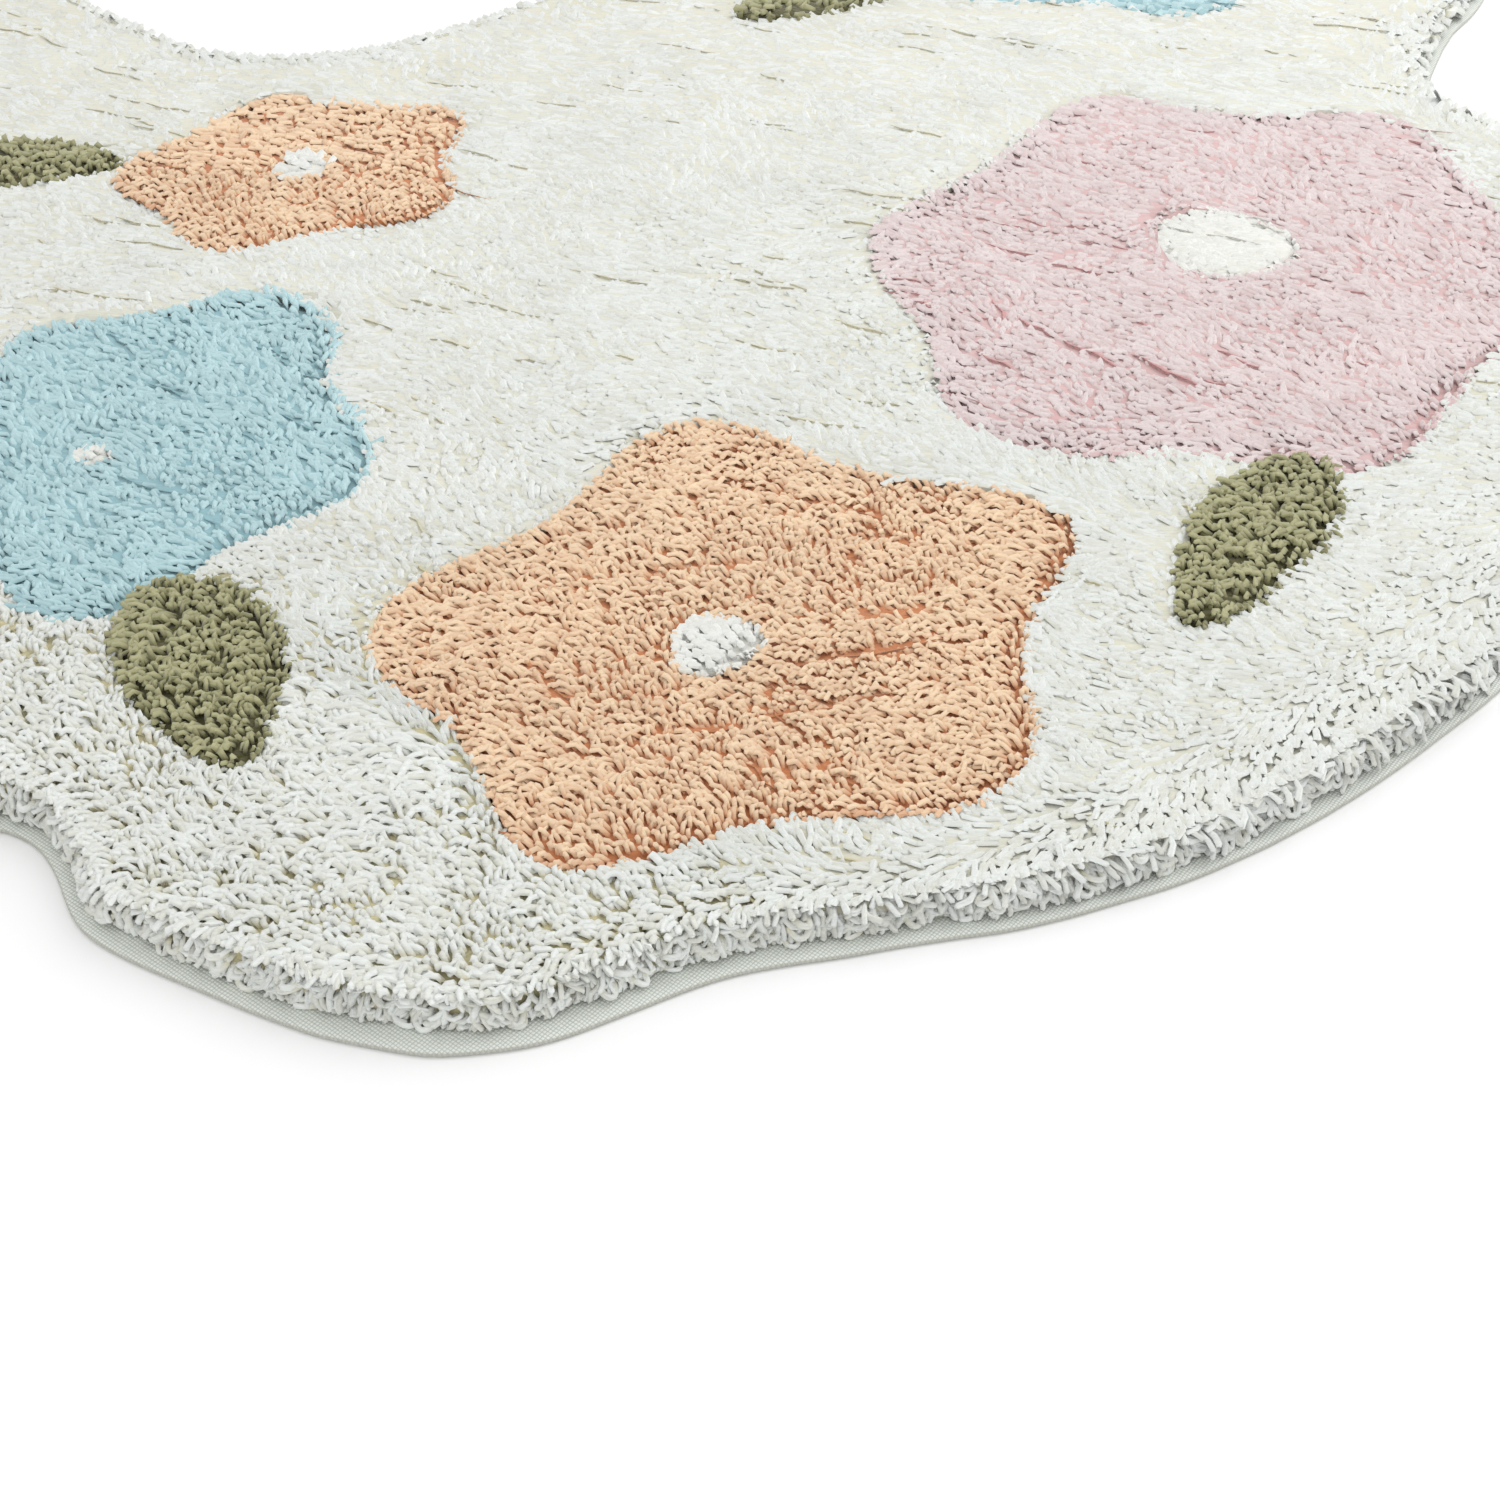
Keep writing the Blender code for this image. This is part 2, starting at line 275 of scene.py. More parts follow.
def near_box(loop, points, reach):
    """The numbers of the points that lie in the loop's box, or within reach of it."""
    low = loop.min(axis=0) - reach
    high = loop.max(axis=0) + reach
    return np.flatnonzero(((points > low) & (points < high)).all(axis=1))


def inside(loop, points):
    """Whether each point lies inside the loop, by counting the edges that it sees to its right."""
    found = np.zeros(len(points), bool)
    near = near_box(loop, points, 0)
    x, y = points[near, 0], points[near, 1]
    crossed = np.zeros(len(near), bool)
    for (x0, y0), (x1, y1) in zip(loop, np.roll(loop, -1, axis=0)):
        between = (y0 > y) != (y1 > y)
        crossed ^= between & (x < x0 + (y - y0) * (x1 - x0) / (y1 - y0 + 1e-15))
    found[near] = crossed
    return found


def to_edge(loop, points, reach):
    """The way from each point to the nearest place on the loop, and its length up to reach."""
    way = np.zeros((len(points), 2))
    length = np.full(len(points), reach, float)
    near = near_box(loop, points, reach)
    start = loop
    run = np.roll(loop, -1, axis=0) - loop
    for part in np.array_split(near, max(1, len(near) // 4000)):
        gap = points[part][:, None] - start[None]
        t = np.clip((gap * run).sum(axis=2) / (run * run).sum(axis=1), 0, 1)
        offset = start + t[:, :, None] * run - points[part][:, None]
        distance = np.linalg.norm(offset, axis=2)
        best = distance.argmin(axis=1)
        rows = np.arange(len(part))
        close = distance[rows, best] < reach
        way[part[close]] = offset[rows, best][close]
        length[part[close]] = distance[rows, best][close]
    return way, length


def height_of(name, points):
    """Height of a solid's upper side at each point, and no number beside the solid."""
    mesh = solids[name].data
    tree = BVHTree.FromPolygons([v.co for v in mesh.vertices], [f.vertices for f in mesh.polygons])
    down = Vector((0, 0, -1))
    heights = np.empty(len(points))
    for k, (x, y) in enumerate(points):
        hit = tree.ray_cast(Vector((x, y, 0.1)), down)[0]
        heights[k] = hit.z if hit else np.nan
    return heights


def top_of(name, points):
    """Height of a solid's upper side at each point, or its mean height beside the solid."""
    heights = height_of(name, points)
    return np.where(np.isnan(heights), np.nanmean(heights), heights)


def slope_along(name, points, lean, height):
    """How steeply a solid's upper side rises from each point along the lean of its end."""
    length = np.linalg.norm(lean, axis=1) + 1e-6
    rise = height_of(name, points + lean) - height
    return np.where(np.isnan(rise), 0, np.clip(rise / length, -STEEPEST, STEEPEST))


front = np.array([[0.08, -0.52], [0.35, -0.45]])
print("height of the packed pile at two places:", top_of("cream_pile", front).round(4))

# %% [markdown]
# ## Spinning yarn
#
# One tuft is a short end of yarn, a few millimetres thick. It leaves the canvas, bends over, lies
# on its neighbours and ends in a blunt cut. A curve object with a bevel would draw it, but a rug
# has tens of thousands, so all the yarn of one field becomes one mesh: each end is a closed
# spindle with a few rings of three or four corners. Two numbers ride on every point: `depth`,
# from 0 down at the root to 1 where light reaches, and `tone`, one random number for each end.
# The material reads both, and paints a low depth in a deeper colour, as shade; beds and
# parting floors carry a lower tone, which darkens them further as painted shade.
#
# A spindle of three corners would shade like a bent rod. Real yarn is a bundle of loose fibres
# that scatter the light, so each point also carries its own normal, worked out from the round
# section and then turned partly to the way that the whole pile faces. Blender takes it from an
# attribute called `custom_normal`. The more brushed the pile is, the further the normals turn.

# %% Closed spindles of yarn
def spin_yarn(paths, across, radii, sides, tones, depths, facing, soft,
              flat=0.0, deeper=0.0, first_corner=0.0):
    """Closed spindles along paths (ends, stations, 3), which across leaves sideways at each one.

    The first and the last station are points, and the others are rings. Soft is how far the
    normals turn to the way the pile faces, and flat how flat each end is. Deeper is how much depth
    the underside of a ring loses, which paints shade there. The first corner of a ring lies at
    that angle from across."""
    ends, stations = paths.shape[:2]
    soft, flat, deeper, first_corner = (np.broadcast_to(number, ends)[:, None, None]
                                        for number in (soft, flat, deeper, first_corner))
    along = np.empty_like(paths)
    along[:, 1:-1] = paths[:, 2:] - paths[:, :-2]
    along[:, 0] = paths[:, 1] - paths[:, 0]
    along[:, -1] = paths[:, -1] - paths[:, -2]
    along = unit(along)
    first = unit(across - (across * along).sum(axis=2)[:, :, None] * along)
    second = np.cross(along, first)
    rings = stations - 2
    middle = slice(1, stations - 1)
    turn = np.linspace(0, 2 * math.pi, sides, endpoint=False) + first_corner
    beside = first[:, middle, None] * np.cos(turn)[:, :, :, None]
    above = second[:, middle, None] * np.sin(turn)[:, :, :, None]
    thin = 1 - flat[:, None]
    ring = paths[:, middle, None] + radii[:, :, None, None] * (beside + above * thin)
    round_normal = unit((beside * thin + above).reshape(ends, rings * sides, 3))
    normal = np.concatenate([-along[:, :1], round_normal, along[:, -1:]], axis=1)
    normal = unit(normal * (1 - soft) + facing[:, None] * soft)
    points = [paths[:, :1], ring.reshape(ends, rings * sides, 3), paths[:, -1:]]
    ring_depth = depths[:, middle, None] * (1 - deeper * (1 - np.sin(turn)) / 2)
    depth = [depths[:, :1], ring_depth.reshape(ends, -1), depths[:, -1:]]
    each = rings * sides + 2
    here = np.arange(sides)
    there = (here + 1) % sides
    last = 1 + (rings - 1) * sides
    root = np.stack([np.zeros(sides, int), 1 + there, 1 + here], axis=1)
    tip = np.stack([last + here, last + there, np.full(sides, each - 1)], axis=1)
    walls = []
    for low in range(1, last, sides):
        high = low + sides
        walls.append(np.stack([low + here, low + there, high + there, high + here], axis=1))
    triangles, quads = np.concatenate([root, tip]), np.concatenate(walls)
    base = (np.arange(ends) * each)[:, None, None]
    return {
        "points": np.concatenate(points, axis=1).reshape(-1, 3),
        "normal": normal.reshape(-1, 3),
        "triangles": (base + triangles).reshape(-1, 3),
        "quads": (base + quads).reshape(-1, 4),
        "depth": np.concatenate(depth, axis=1).ravel(),
        "tone": np.repeat(tones, each),
        "each": (each, len(triangles), len(quads)),
    }


# %% [markdown]
# The shape of an end is a short table. Near the camera and at the rim an end has more stations,
# and far off or in a fleece only a few. Brushed ends are pressed flat, with a ridge along their
# top that catches the light, and they start nearer to the surface, so that little of them hides.

# %% The shape of one end
LONG_END = np.array([
    # share of the length, height in radii if it lies, height if it stands, depth of colour
    (0.00, -4.6, -4.6, 0.00),
    (0.10, -2.4, -3.0, 0.25),
    (0.36, -0.8, -1.8, 0.85),
    (0.70, -0.4, -0.9, 1.00),
    (1.00, -1.1, 0.0, 0.95),
])
FINE_END = np.array([
    (0.00, -4.4, -4.4, 0.00),
    (0.14, -1.9, -2.7, 0.30),
    (0.58, -0.4, -1.3, 0.95),
    (1.00, -1.0, 0.0, 0.95),
])
PLAIN_END = np.array([
    (0.00, -3.8, -3.8, 0.00),
    (0.34, -0.8, -1.5, 0.75),
    (1.00, -0.8, 0.0, 1.00),
])
SOFT_END = np.array([
    (0.00, -2.4, -2.4, 0.30),
    (0.36, -0.75, -1.2, 0.85),
    (1.00, -0.55, 0.0, 1.00),
])
CANVAS_TOP = 0.0020           # no yarn goes below the canvas
BLUNT = 0.55                  # the cut end bulges by this many radii
STANDS_BELOW = 0.0045         # an end that leans over less than this stands up
UNDERSIDE_SHADE = 0.28           # how much of the pale tip colour the underside of an end loses: painted shade
FLATTENED = 0.50              # how much a brushed end is pressed flat
RIDGED = 0.45                 # an end that is brushed more than this has a ridge along its top
CRISP_SOFT = 0.25             # how softly crisp yarn shades, from 0 as a rod to 1 as one fleece
BRUSHED_SOFT = 0.60           # and how softly brushed yarn does
PALED = 0.8                   # how much of the deep root colour, painted shade, a brushed end loses at its root


def lay_ends(ends, shape):
    """Ends of yarn that rise at base, bend over along out and lie on the pile, curling aside.

    Ends holds one row for each end under each name. One of them, from 0 to 1, is painted shade:
    how much of the pale tip colour an end has lost, as in a parting."""
    base, out, up = (ends[name][:, None] for name in ("base", "out", "up"))
    length, curl, thickness = (ends[name][:, None] for name in ("length", "curl", "thickness"))
    brush = ends["brush"]
    share, lying, standing, depth = shape.T
    angle = curl * share
    ahead = length * share * np.cos(angle)
    aside = length * share * np.sin(angle)
    stands = np.clip(1 - length / STANDS_BELOW, 0, 1)
    rise = thickness * (lying * (1 - stands) + standing * stands)
    paths = (base + out * ahead[:, :, None] + np.cross(up, out) * aside[:, :, None]
             + up * rise[:, :, None])
    paths[:, :, 2] = np.maximum(paths[:, :, 2], CANVAS_TOP + 0.95 * thickness)
    cut = paths[:, -1] + unit(paths[:, -1] - paths[:, -2]) * BLUNT * thickness
    paths = np.concatenate([paths, cut[:, None]], axis=1)
    across = unit(np.cross(up, np.gradient(paths, axis=1)))
    radii = thickness * np.linspace(0.9, 1.0, len(shape) - 1)
    depths = 1 - (1 - np.append(depth, 1.0)) * (1 - PALED * brush[:, None])
    # painted shade takes away pale tip colour, at front edges and beside partings
    depths *= 1 - ends["painted_shade"][:, None]
    facing = unit(ends["up"] + (0, 0, 1))
    return spin_yarn(paths, across, radii, 3, ends["tone"], depths, facing,
                     soft=CRISP_SOFT + (BRUSHED_SOFT - CRISP_SOFT) * brush,
                     flat=FLATTENED * brush, deeper=UNDERSIDE_SHADE * (1 - brush),
                     first_corner=np.where(brush > RIDGED, math.pi / 2, 0))


def lay_each(ends, choices):
    """Lays ends in parts. Each choice is which of the ends it takes, and their shape."""
    parts = []
    for chosen, shape in choices:
        if chosen.any():
            parts.append(lay_ends({name: rows[chosen] for name, rows in ends.items()}, shape))
    return parts


print("stations of an end:", [len(shape) for shape in (LONG_END, FINE_END, PLAIN_END, SOFT_END)])

# %% [markdown]
# Between the ends a real pile shows more yarn, packed roots in the shade of the ends. Modelling
# each of them would be waste, so the solid's own surface, pressed down towards the canvas, stands
# for them all, in the deep root colour and a darker tone: painted shade.
# It lies lower where the pile is crisp, so that the gaps there are deep and dark, and it falls
# away towards the outline of its colour, where it mustn't show through the next one.

# %% The bed of packed roots
BED_PAINTED_SHADE = -0.9               # painted shade: the bed lies in the shade of its yarn, so it is painted this much darker
BED_DEPTH = 0.85              # and where the pile is brushed, its colour is this near to the tips'
BED_DROP = 0.0029             # how far it lies below the ends where the pile is crisp
BRUSHED_DROP = 0.0016         # and where it is brushed
EDGE_FALL = 0.0035            # it falls away this near to the edge of its own colour
EDGE_DROP = 0.0020            # by this much


def bed_drop(brush):
    """How far the bed lies below the ends."""
    return BED_DROP + (BRUSHED_DROP - BED_DROP) * brush


def surface_normals(points, triangles):
    """Unit normals at the corners of a surface, averaged over the faces that meet there."""
    a, b, c = (points[triangles[:, k]] for k in range(3))
    face = np.cross(b - a, c - a)
    normals = np.zeros_like(points)
    for k in range(3):
        np.add.at(normals, triangles[:, k], face)
    return normals / (np.linalg.norm(normals, axis=1)[:, None] + 1e-15)


def pressed_bed(name, colour, loop):
    """A solid's own surface, pressed down towards the canvas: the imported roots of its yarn.

    It falls away towards the loop, and nothing of it lies outside that."""
    mesh = solids[name].data
    points = np.array([v.co[:] for v in mesh.vertices])
    mesh.calc_loop_triangles()
    triangles = np.array([t.vertices[:] for t in mesh.loop_triangles])
    places, number = np.unique(np.round(points, 6), axis=0, return_inverse=True)
    triangles = number.ravel()[triangles]
    triangles = triangles[[len(set(corners)) == 3 for corners in triangles.tolist()]]
    places[:, :2] = stray(places[:, :2])
    brush = brushed(places[:, :2], colour)
    way, gap = to_edge(loop, places[:, :2], 0.03)
    beyond = ~inside(loop, places[:, :2]) & (gap < 0.03)
    places[beyond, :2] += way[beyond]
    gap[beyond] = 0
    drop = bed_drop(brush) + EDGE_DROP * np.clip(1 - gap / EDGE_FALL, 0, 1)
    places[:, 2] = np.maximum(places[:, 2] - drop, places[:, 2].min())
    return {
        "points": places,
        "normal": surface_normals(places, triangles),
        "triangles": triangles,
        "quads": np.zeros((0, 4), int),
        # the bed takes the root colour and a darker tone: painted shade of the yarn above it
        "depth": BED_DEPTH * brush,
        "tone": BED_PAINTED_SHADE * (1 - brush),
    }


# %% [markdown]
# All this ends up in ordinary meshes. Arrays go into Blender in one step each, which is far
# quicker than adding vertices one by one. Each piece then rides on the rug's only body and
# replaces the plain solid that it was made from.

# %% From arrays to pieces
ON_POINTS = ("points", "normal", "depth", "tone")


def join_parts(parts):
    """Several dictionaries of points and faces as one."""
    joined = {name: np.concatenate([part[name] for part in parts]) for name in ON_POINTS}
    shift = np.cumsum([0] + [len(part["points"]) for part in parts[:-1]])
    for faces in ("triangles", "quads"):
        joined[faces] = np.concatenate([part[faces] + s for part, s in zip(parts, shift)])
    return joined


def face_count(part):
    """How many triangles a part has."""
    return len(part["triangles"]) + 2 * len(part["quads"])


def make_piece(name, part, finish):
    """A smooth-shaded mesh object from points and faces, with its depth and tone numbers."""
    triangles, quads = part["triangles"], part["quads"]
    mesh = bpy.data.meshes.new(name)
    mesh.vertices.add(len(part["points"]))
    mesh.vertices.foreach_set("co", part["points"].astype(np.float32).ravel())
    corners = np.concatenate([triangles.ravel(), quads.ravel()]).astype(np.int32)
    mesh.loops.add(len(corners))
    mesh.loops.foreach_set("vertex_index", corners)
    sizes = np.concatenate([np.full(len(triangles), 3), np.full(len(quads), 4)]).astype(np.int32)
    mesh.polygons.add(len(sizes))
    mesh.polygons.foreach_set("loop_start", (np.cumsum(sizes) - sizes).astype(np.int32))
    mesh.update(calc_edges=True)
    for number in ("depth", "tone"):
        attribute = mesh.attributes.new(number, "FLOAT", "POINT")
        attribute.data.foreach_set("value", part[number].astype(np.float32))
    attribute = mesh.attributes.new("custom_normal", "FLOAT_VECTOR", "POINT")
    attribute.data.foreach_set("vector", part["normal"].astype(np.float32).ravel())
    mesh.shade_smooth()
    return show(name, mesh, finish)


def show(name, mesh, finish):
    """Puts a mesh with one finish into the scene."""
    mesh.materials.append(finish)
    shown = bpy.data.objects.new(name, mesh)
    bpy.context.scene.collection.objects.link(shown)
    return shown


def put_in_place(piece, solid):
    """A piece rides on the rug and takes the place of its solid."""
    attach(piece, "root")
    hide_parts(solid)


# %% [markdown]
# ## Finishes
#
# All the yarn is the same thing, soft-spun cotton, dyed in six colours. Undyed cotton is a warm
# cream; light that falls between the ends comes back warmer and deeper, so each colour has a
# second, richer one for the roots, which paints that shade. Cotton has no gloss: roughness is
# near 1, the refractive index is 1.5, and a faint sheen stands for the loose fibres round each end.

# %% Colour and node helpers
def linear(hex_colour):
    """An sRGB hex colour as the linear numbers that a shader wants."""
    parts = [int(hex_colour[i:i + 2], 16) / 255 for i in (1, 3, 5)]
    return tuple(c / 12.92 if c < 0.04045 else ((c + 0.055) / 1.055) ** 2.4 for c in parts) + (1.0,)


def add_node(tree, kind, settings=None, values=None, links=None):
    """Adds one node, sets its properties and its sockets' values, and links sockets into it."""
    node = tree.nodes.new(kind)
    for name, value in (settings or {}).items():
        setattr(node, name, value)
    for name, value in (values or {}).items():
        node.inputs[name].default_value = value
    for name, source in (links or {}).items():
        tree.links.new(source, node.inputs[name])
    return node


def maths(tree, operation, *numbers, clamp=False):
    """Adds one sum, whose numbers are plain values or sockets, and returns its result."""
    node = add_node(tree, "ShaderNodeMath", {"operation": operation, "use_clamp": clamp})
    for index, number in enumerate(numbers):
        if isinstance(number, float):
            node.inputs[index].default_value = number
        else:
            tree.links.new(number, node.inputs[index])
    return node.outputs[0]


def matt_finish(name, roughness):
    """A new finish without gloss, with its node tree and the shader in it."""
    made = bpy.data.materials.new(name)
    made.use_nodes = True
    shader = made.node_tree.nodes["Principled BSDF"]
    shader.inputs["Roughness"].default_value = roughness
    shader.inputs["IOR"].default_value = 1.5
    return made, made.node_tree, shader


print("undyed cotton in a shader's numbers:", np.round(linear("#E7EAE6"), 3))

# %% [markdown]
# One function makes the finish for every colour. `depth` blends the tip colour into the deeper
# root colour, which is painted shade, and `tone` makes each end a little stronger or weaker; the
# low tone of beds and parting floors darkens them as painted shade. Two patterns follow the
# fibres: fine streaks of painted light and shade in the colour, and a slight relief. Deep down,
# crumbs of shadow stand for the roots that aren't modelled.

# %% Cotton yarn
FIBRE = 0.0011                # spacing of the fibre clumps seen on one end of yarn
FIBRE_LENGTH = 0.0060         # and their length
COMBED = 152                  # the way most fibres lie, in degrees from +X
ROOT_SIZE = 0.0030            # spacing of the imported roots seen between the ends
PATCH = 0.045                 # size of the places where the dye took better or worse


def cotton_yarn(name, tip, root):
    """Soft-spun cotton: a deep root colour as painted shade, pale ends, a little uneven in the dye.
    """
    made, tree, shader = matt_finish(name, 0.95)
    shader.inputs["Sheen Weight"].default_value = 0.25
    shader.inputs["Sheen Roughness"].default_value = 0.6
    depth = add_node(tree, "ShaderNodeAttribute", {"attribute_name": "depth"}).outputs["Fac"]
    tone = add_node(tree, "ShaderNodeAttribute", {"attribute_name": "tone"}).outputs["Fac"]
    place = add_node(tree, "ShaderNodeNewGeometry").outputs["Position"]

    # the colour: dye at the tips, a deeper root colour as painted shade, and each end a little
    # different
    height = add_node(tree, "ShaderNodeMapRange", {"interpolation_type": "SMOOTHSTEP"},
                      {"From Min": 0.0, "From Max": 1.0}, {"Value": depth}).outputs["Result"]
    # a low tone, as on beds and parting floors, pulls the colour further to the root: painted shade
    uneven = add_node(tree, "ShaderNodeMapRange", {"clamp": False},
                      {"To Min": -0.20, "To Max": 0.12}, {"Value": tone}).outputs["Result"]
    dye_and_root_shade = add_node(tree, "ShaderNodeMix", {"data_type": "RGBA"},
                   {"A": linear(root), "B": linear(tip)},
                   {"Factor": maths(tree, "ADD", height, uneven, clamp=True)})

    # its strength: one for each end, broad patches of uneven dye, and painted shade on beds and
    # floors
    patches = add_node(tree, "ShaderNodeTexNoise", None, {"Scale": 1 / PATCH, "Detail": 2.0},
                       {"Vector": place})
    strength = add_node(tree, "ShaderNodeMapRange", None,
                        {"From Min": -2.0, "From Max": 1.0, "To Min": 0.54, "To Max": 1.05},
                        {"Value": maths(tree, "MULTIPLY_ADD", tone, 0.5, patches.outputs["Fac"])})
    combed = add_node(tree, "ShaderNodeMapping", None,
                      {"Rotation": (0, 0, math.radians(-COMBED)),
                       "Scale": (FIBRE / FIBRE_LENGTH, 1, 1)}, {"Vector": place})
    fibres = add_node(tree, "ShaderNodeTexNoise", None,
                      {"Scale": 1 / FIBRE, "Detail": 2.0, "Distortion": 0.8},
                      {"Vector": combed.outputs["Vector"]}).outputs["Fac"]
    # fine streaks along the fibres: painted light and shade between them
    fibre_light_and_shade = add_node(tree, "ShaderNodeMapRange", None,
                       {"From Min": 0.3, "From Max": 0.7, "To Min": 0.91, "To Max": 1.04},
                       {"Value": fibres})
    value = maths(tree, "MULTIPLY", strength.outputs["Result"], fibre_light_and_shade.outputs["Result"])
    colour = add_node(tree, "ShaderNodeHueSaturation", None, None,
                      {"Color": dye_and_root_shade.outputs["Result"], "Value": value})

    # the relief: crumbs of packed roots where it is deep, and fibres all over
    crumbs = add_node(tree, "ShaderNodeTexVoronoi", None, {"Scale": 1 / ROOT_SIZE},
                      {"Vector": place}).outputs["Distance"]
    hollow = maths(tree, "MULTIPLY", crumbs, maths(tree, "SUBTRACT", 1.0, height))
    packed = add_node(tree, "ShaderNodeBump", {"invert": True},
                      {"Strength": 0.8, "Distance": 0.0012}, {"Height": hollow})
    fluff = add_node(tree, "ShaderNodeBump", None, {"Strength": 0.5, "Distance": 0.0005},
                     {"Height": fibres, "Normal": packed.outputs["Normal"]})
    tree.links.new(colour.outputs["Color"], shader.inputs["Base Color"])
    tree.links.new(fluff.outputs["Normal"], shader.inputs["Normal"])
    return made


DYES_AND_ROOT_SHADE = {
    # yarn: colour at the cut ends, deeper colour at the roots that paints their shade
    "cream": ("#E7EAE6", "#D3CAA0"),
    "white": ("#ECEDE8", "#E2DECF"),
    "apricot": ("#F0D4B2", "#CF8453"),
    "blue": ("#BFDDE1", "#84B1BA"),
    "pink": ("#E5D8D7", "#D39B99"),
    "olive": ("#AFAD83", "#575323"),
}
yarn = {name: cotton_yarn(f"cotton_yarn_{name}", tip, root) for name, (tip, root) in DYES_AND_ROOT_SHADE.items()}
print("yarn colours:", ", ".join(yarn))

# %% [markdown]
# ## Crisp and brushed pile
#
# New pile is crisp: each end shows, with a deeper colour between the ends, painted shade. Where
# hands have brushed it, loose fibres fill the gaps and the pile turns into one soft fleece. So
# every place has a number, from 0 for crisp to 1 for brushed. Where it is high, the ends lie
# flatter, longer and softer, the bed of packed roots comes nearer to them, and the colour between
# them is paler, with less painted shade.

# %% How brushed each place is
BRUSHED = {"cream": 0.92, "white": 1.0, "apricot": 0.32, "blue": 0.64, "pink": 0.76, "olive": 0.0}
LEFT_CRISP = 0.92             # how much of its brushing the crisp cream pile lacks
CRISP_CREAM = (
    # middle x, y, size
    (0.08, -0.52, 0.13),
    (-0.03, -0.42, 0.12),
    (0.22, -0.585, 0.09),
)


def brushed(points, colour):
    """How brushed the pile of one colour is at each place."""
    amount = np.full(len(points), BRUSHED[colour])
    x, y = points.T
    if colour == "cream":
        crisp = np.zeros(len(points))
        for middle_x, middle_y, size in CRISP_CREAM:
            away = np.hypot(x - middle_x, y - middle_y) / size
            crisp = np.maximum(crisp, np.exp(-away**2.5))
        amount = amount * (1 - LEFT_CRISP * crisp)
    if BRUSHED[colour] > 0:
        amount = amount * (1 - 0.2 * np.clip(drift(x, y, 0.03, 950), 0, 1))
    return amount


# %% [markdown]
# ## Where the stitches go
#
# Every field of colour is filled by rows of stitches. The rows of neighbouring colours run nearly
# the same way. The finest rows lie where the camera comes closest. Further off, stitches are left
# out in an even order, the way a dither thins dots, and each remaining end is thicker, so that
# the field stays as full.

# %% Stitches in rows
ROW_PITCH = 0.0028            # from row to row, and from stitch to stitch
COARSEST = 2.3                # how many times wider the pitch grows where the camera is far
PHOTO_TOP = 261               # the photograph's picture ends at this row, above which it is blank
FADE_BESIDE, FADE_BEHIND = 120, 260    # the pitch grows over so many pixels outside the picture
BRUSHED_THINNING = 0.15       # and how much more it grows where the pile is brushed
BORDER_SPACING = 0.0029       # from stitch to stitch along an outline
ROWS_AT = {"cream": -32, "white": -20, "apricot": -36, "blue": -28, "pink": -46, "olive": -60}
JITTER = 0.28                 # how far a stitch strays, as a share of the pitch
DITHER = np.array([[0, 8, 2, 10], [12, 4, 14, 6], [3, 11, 1, 9], [15, 7, 13, 5]])


def coarseness(points):
    """How much wider the pitch may be at each place, from 1 near the camera."""
    column, row, distance = in_photo(np.column_stack([points, np.full(len(points), PILE_TOP)]))
    beside = np.maximum(np.abs(column - PHOTO_SIDE / 2) - PHOTO_SIDE / 2, 0)
    behind = np.maximum(PHOTO_TOP - row, 0)
    outside = np.clip(np.maximum(beside / FADE_BESIDE, behind / FADE_BEHIND), 0, 1)
    distant = np.clip((distance - 0.8) / 1.0, 0, 0.35)
    return 1 + np.maximum(distant, (COARSEST - 1) * outside)


def walk(loop, spacing, seed):
    """Places along a loop, about a spacing apart near the camera, their normals and widenings."""
    ahead = np.roll(loop, -1, axis=0)
    lengths = np.linalg.norm(ahead - loop, axis=1)
    wider = coarseness(loop)
    steps = np.concatenate([[0], np.cumsum(lengths / (spacing * wider))])
    count = int(steps[-1])
    chance = np.random.default_rng(seed)
    at = (np.arange(count) + chance.uniform(-0.35, 0.35, count)) % steps[-1]
    table = np.column_stack([loop, outward(loop), wider])
    table = np.vstack([table, table[:1]])
    x, y, facing_x, facing_y, wider = (np.interp(at, steps, column) for column in table.T)
    return np.column_stack([x, y]), unit(np.column_stack([facing_x, facing_y])), wider


def stitches(low, high, colour, seed):
    """Places on rows across a box, jittered, thinned out where a coarser pile will do."""
    centre = (low + high) / 2
    reach = np.linalg.norm(high - low) / 2
    count = int(reach / ROW_PITCH) + 2
    steps = np.arange(-count, count + 1)
    across_rows, along_row = np.meshgrid(steps, steps, indexing="ij")
    across_rows, along_row = across_rows.ravel(), along_row.ravel()
    chance = np.random.default_rng(seed)
    jitter = chance.uniform(-JITTER, JITTER, (len(along_row), 2))
    u = (along_row + 0.5 * (across_rows % 2) + jitter[:, 0]) * ROW_PITCH
    v = (across_rows + jitter[:, 1]) * ROW_PITCH
    turn = math.radians(ROWS_AT[colour])
    points = np.column_stack([
        centre[0] + u * math.cos(turn) - v * math.sin(turn),
        centre[1] + u * math.sin(turn) + v * math.cos(turn),
    ])
    rank = (DITHER[along_row % 4, across_rows % 4] + 0.5) / 16
    boxed = ((points > low) & (points < high)).all(axis=1)
    points, rank = points[boxed], rank[boxed]
    wider = coarseness(points) * (1 + BRUSHED_THINNING * brushed(points, colour))
    kept = rank < 1 / wider**2
    return points[kept], wider[kept]


def beside_outline(loop, inset, seed):
    """Stitches in one row along a loop: where they go, and how much wider they are."""
    places, normals, wider = walk(loop, BORDER_SPACING, seed)
    return places - normals * inset, wider


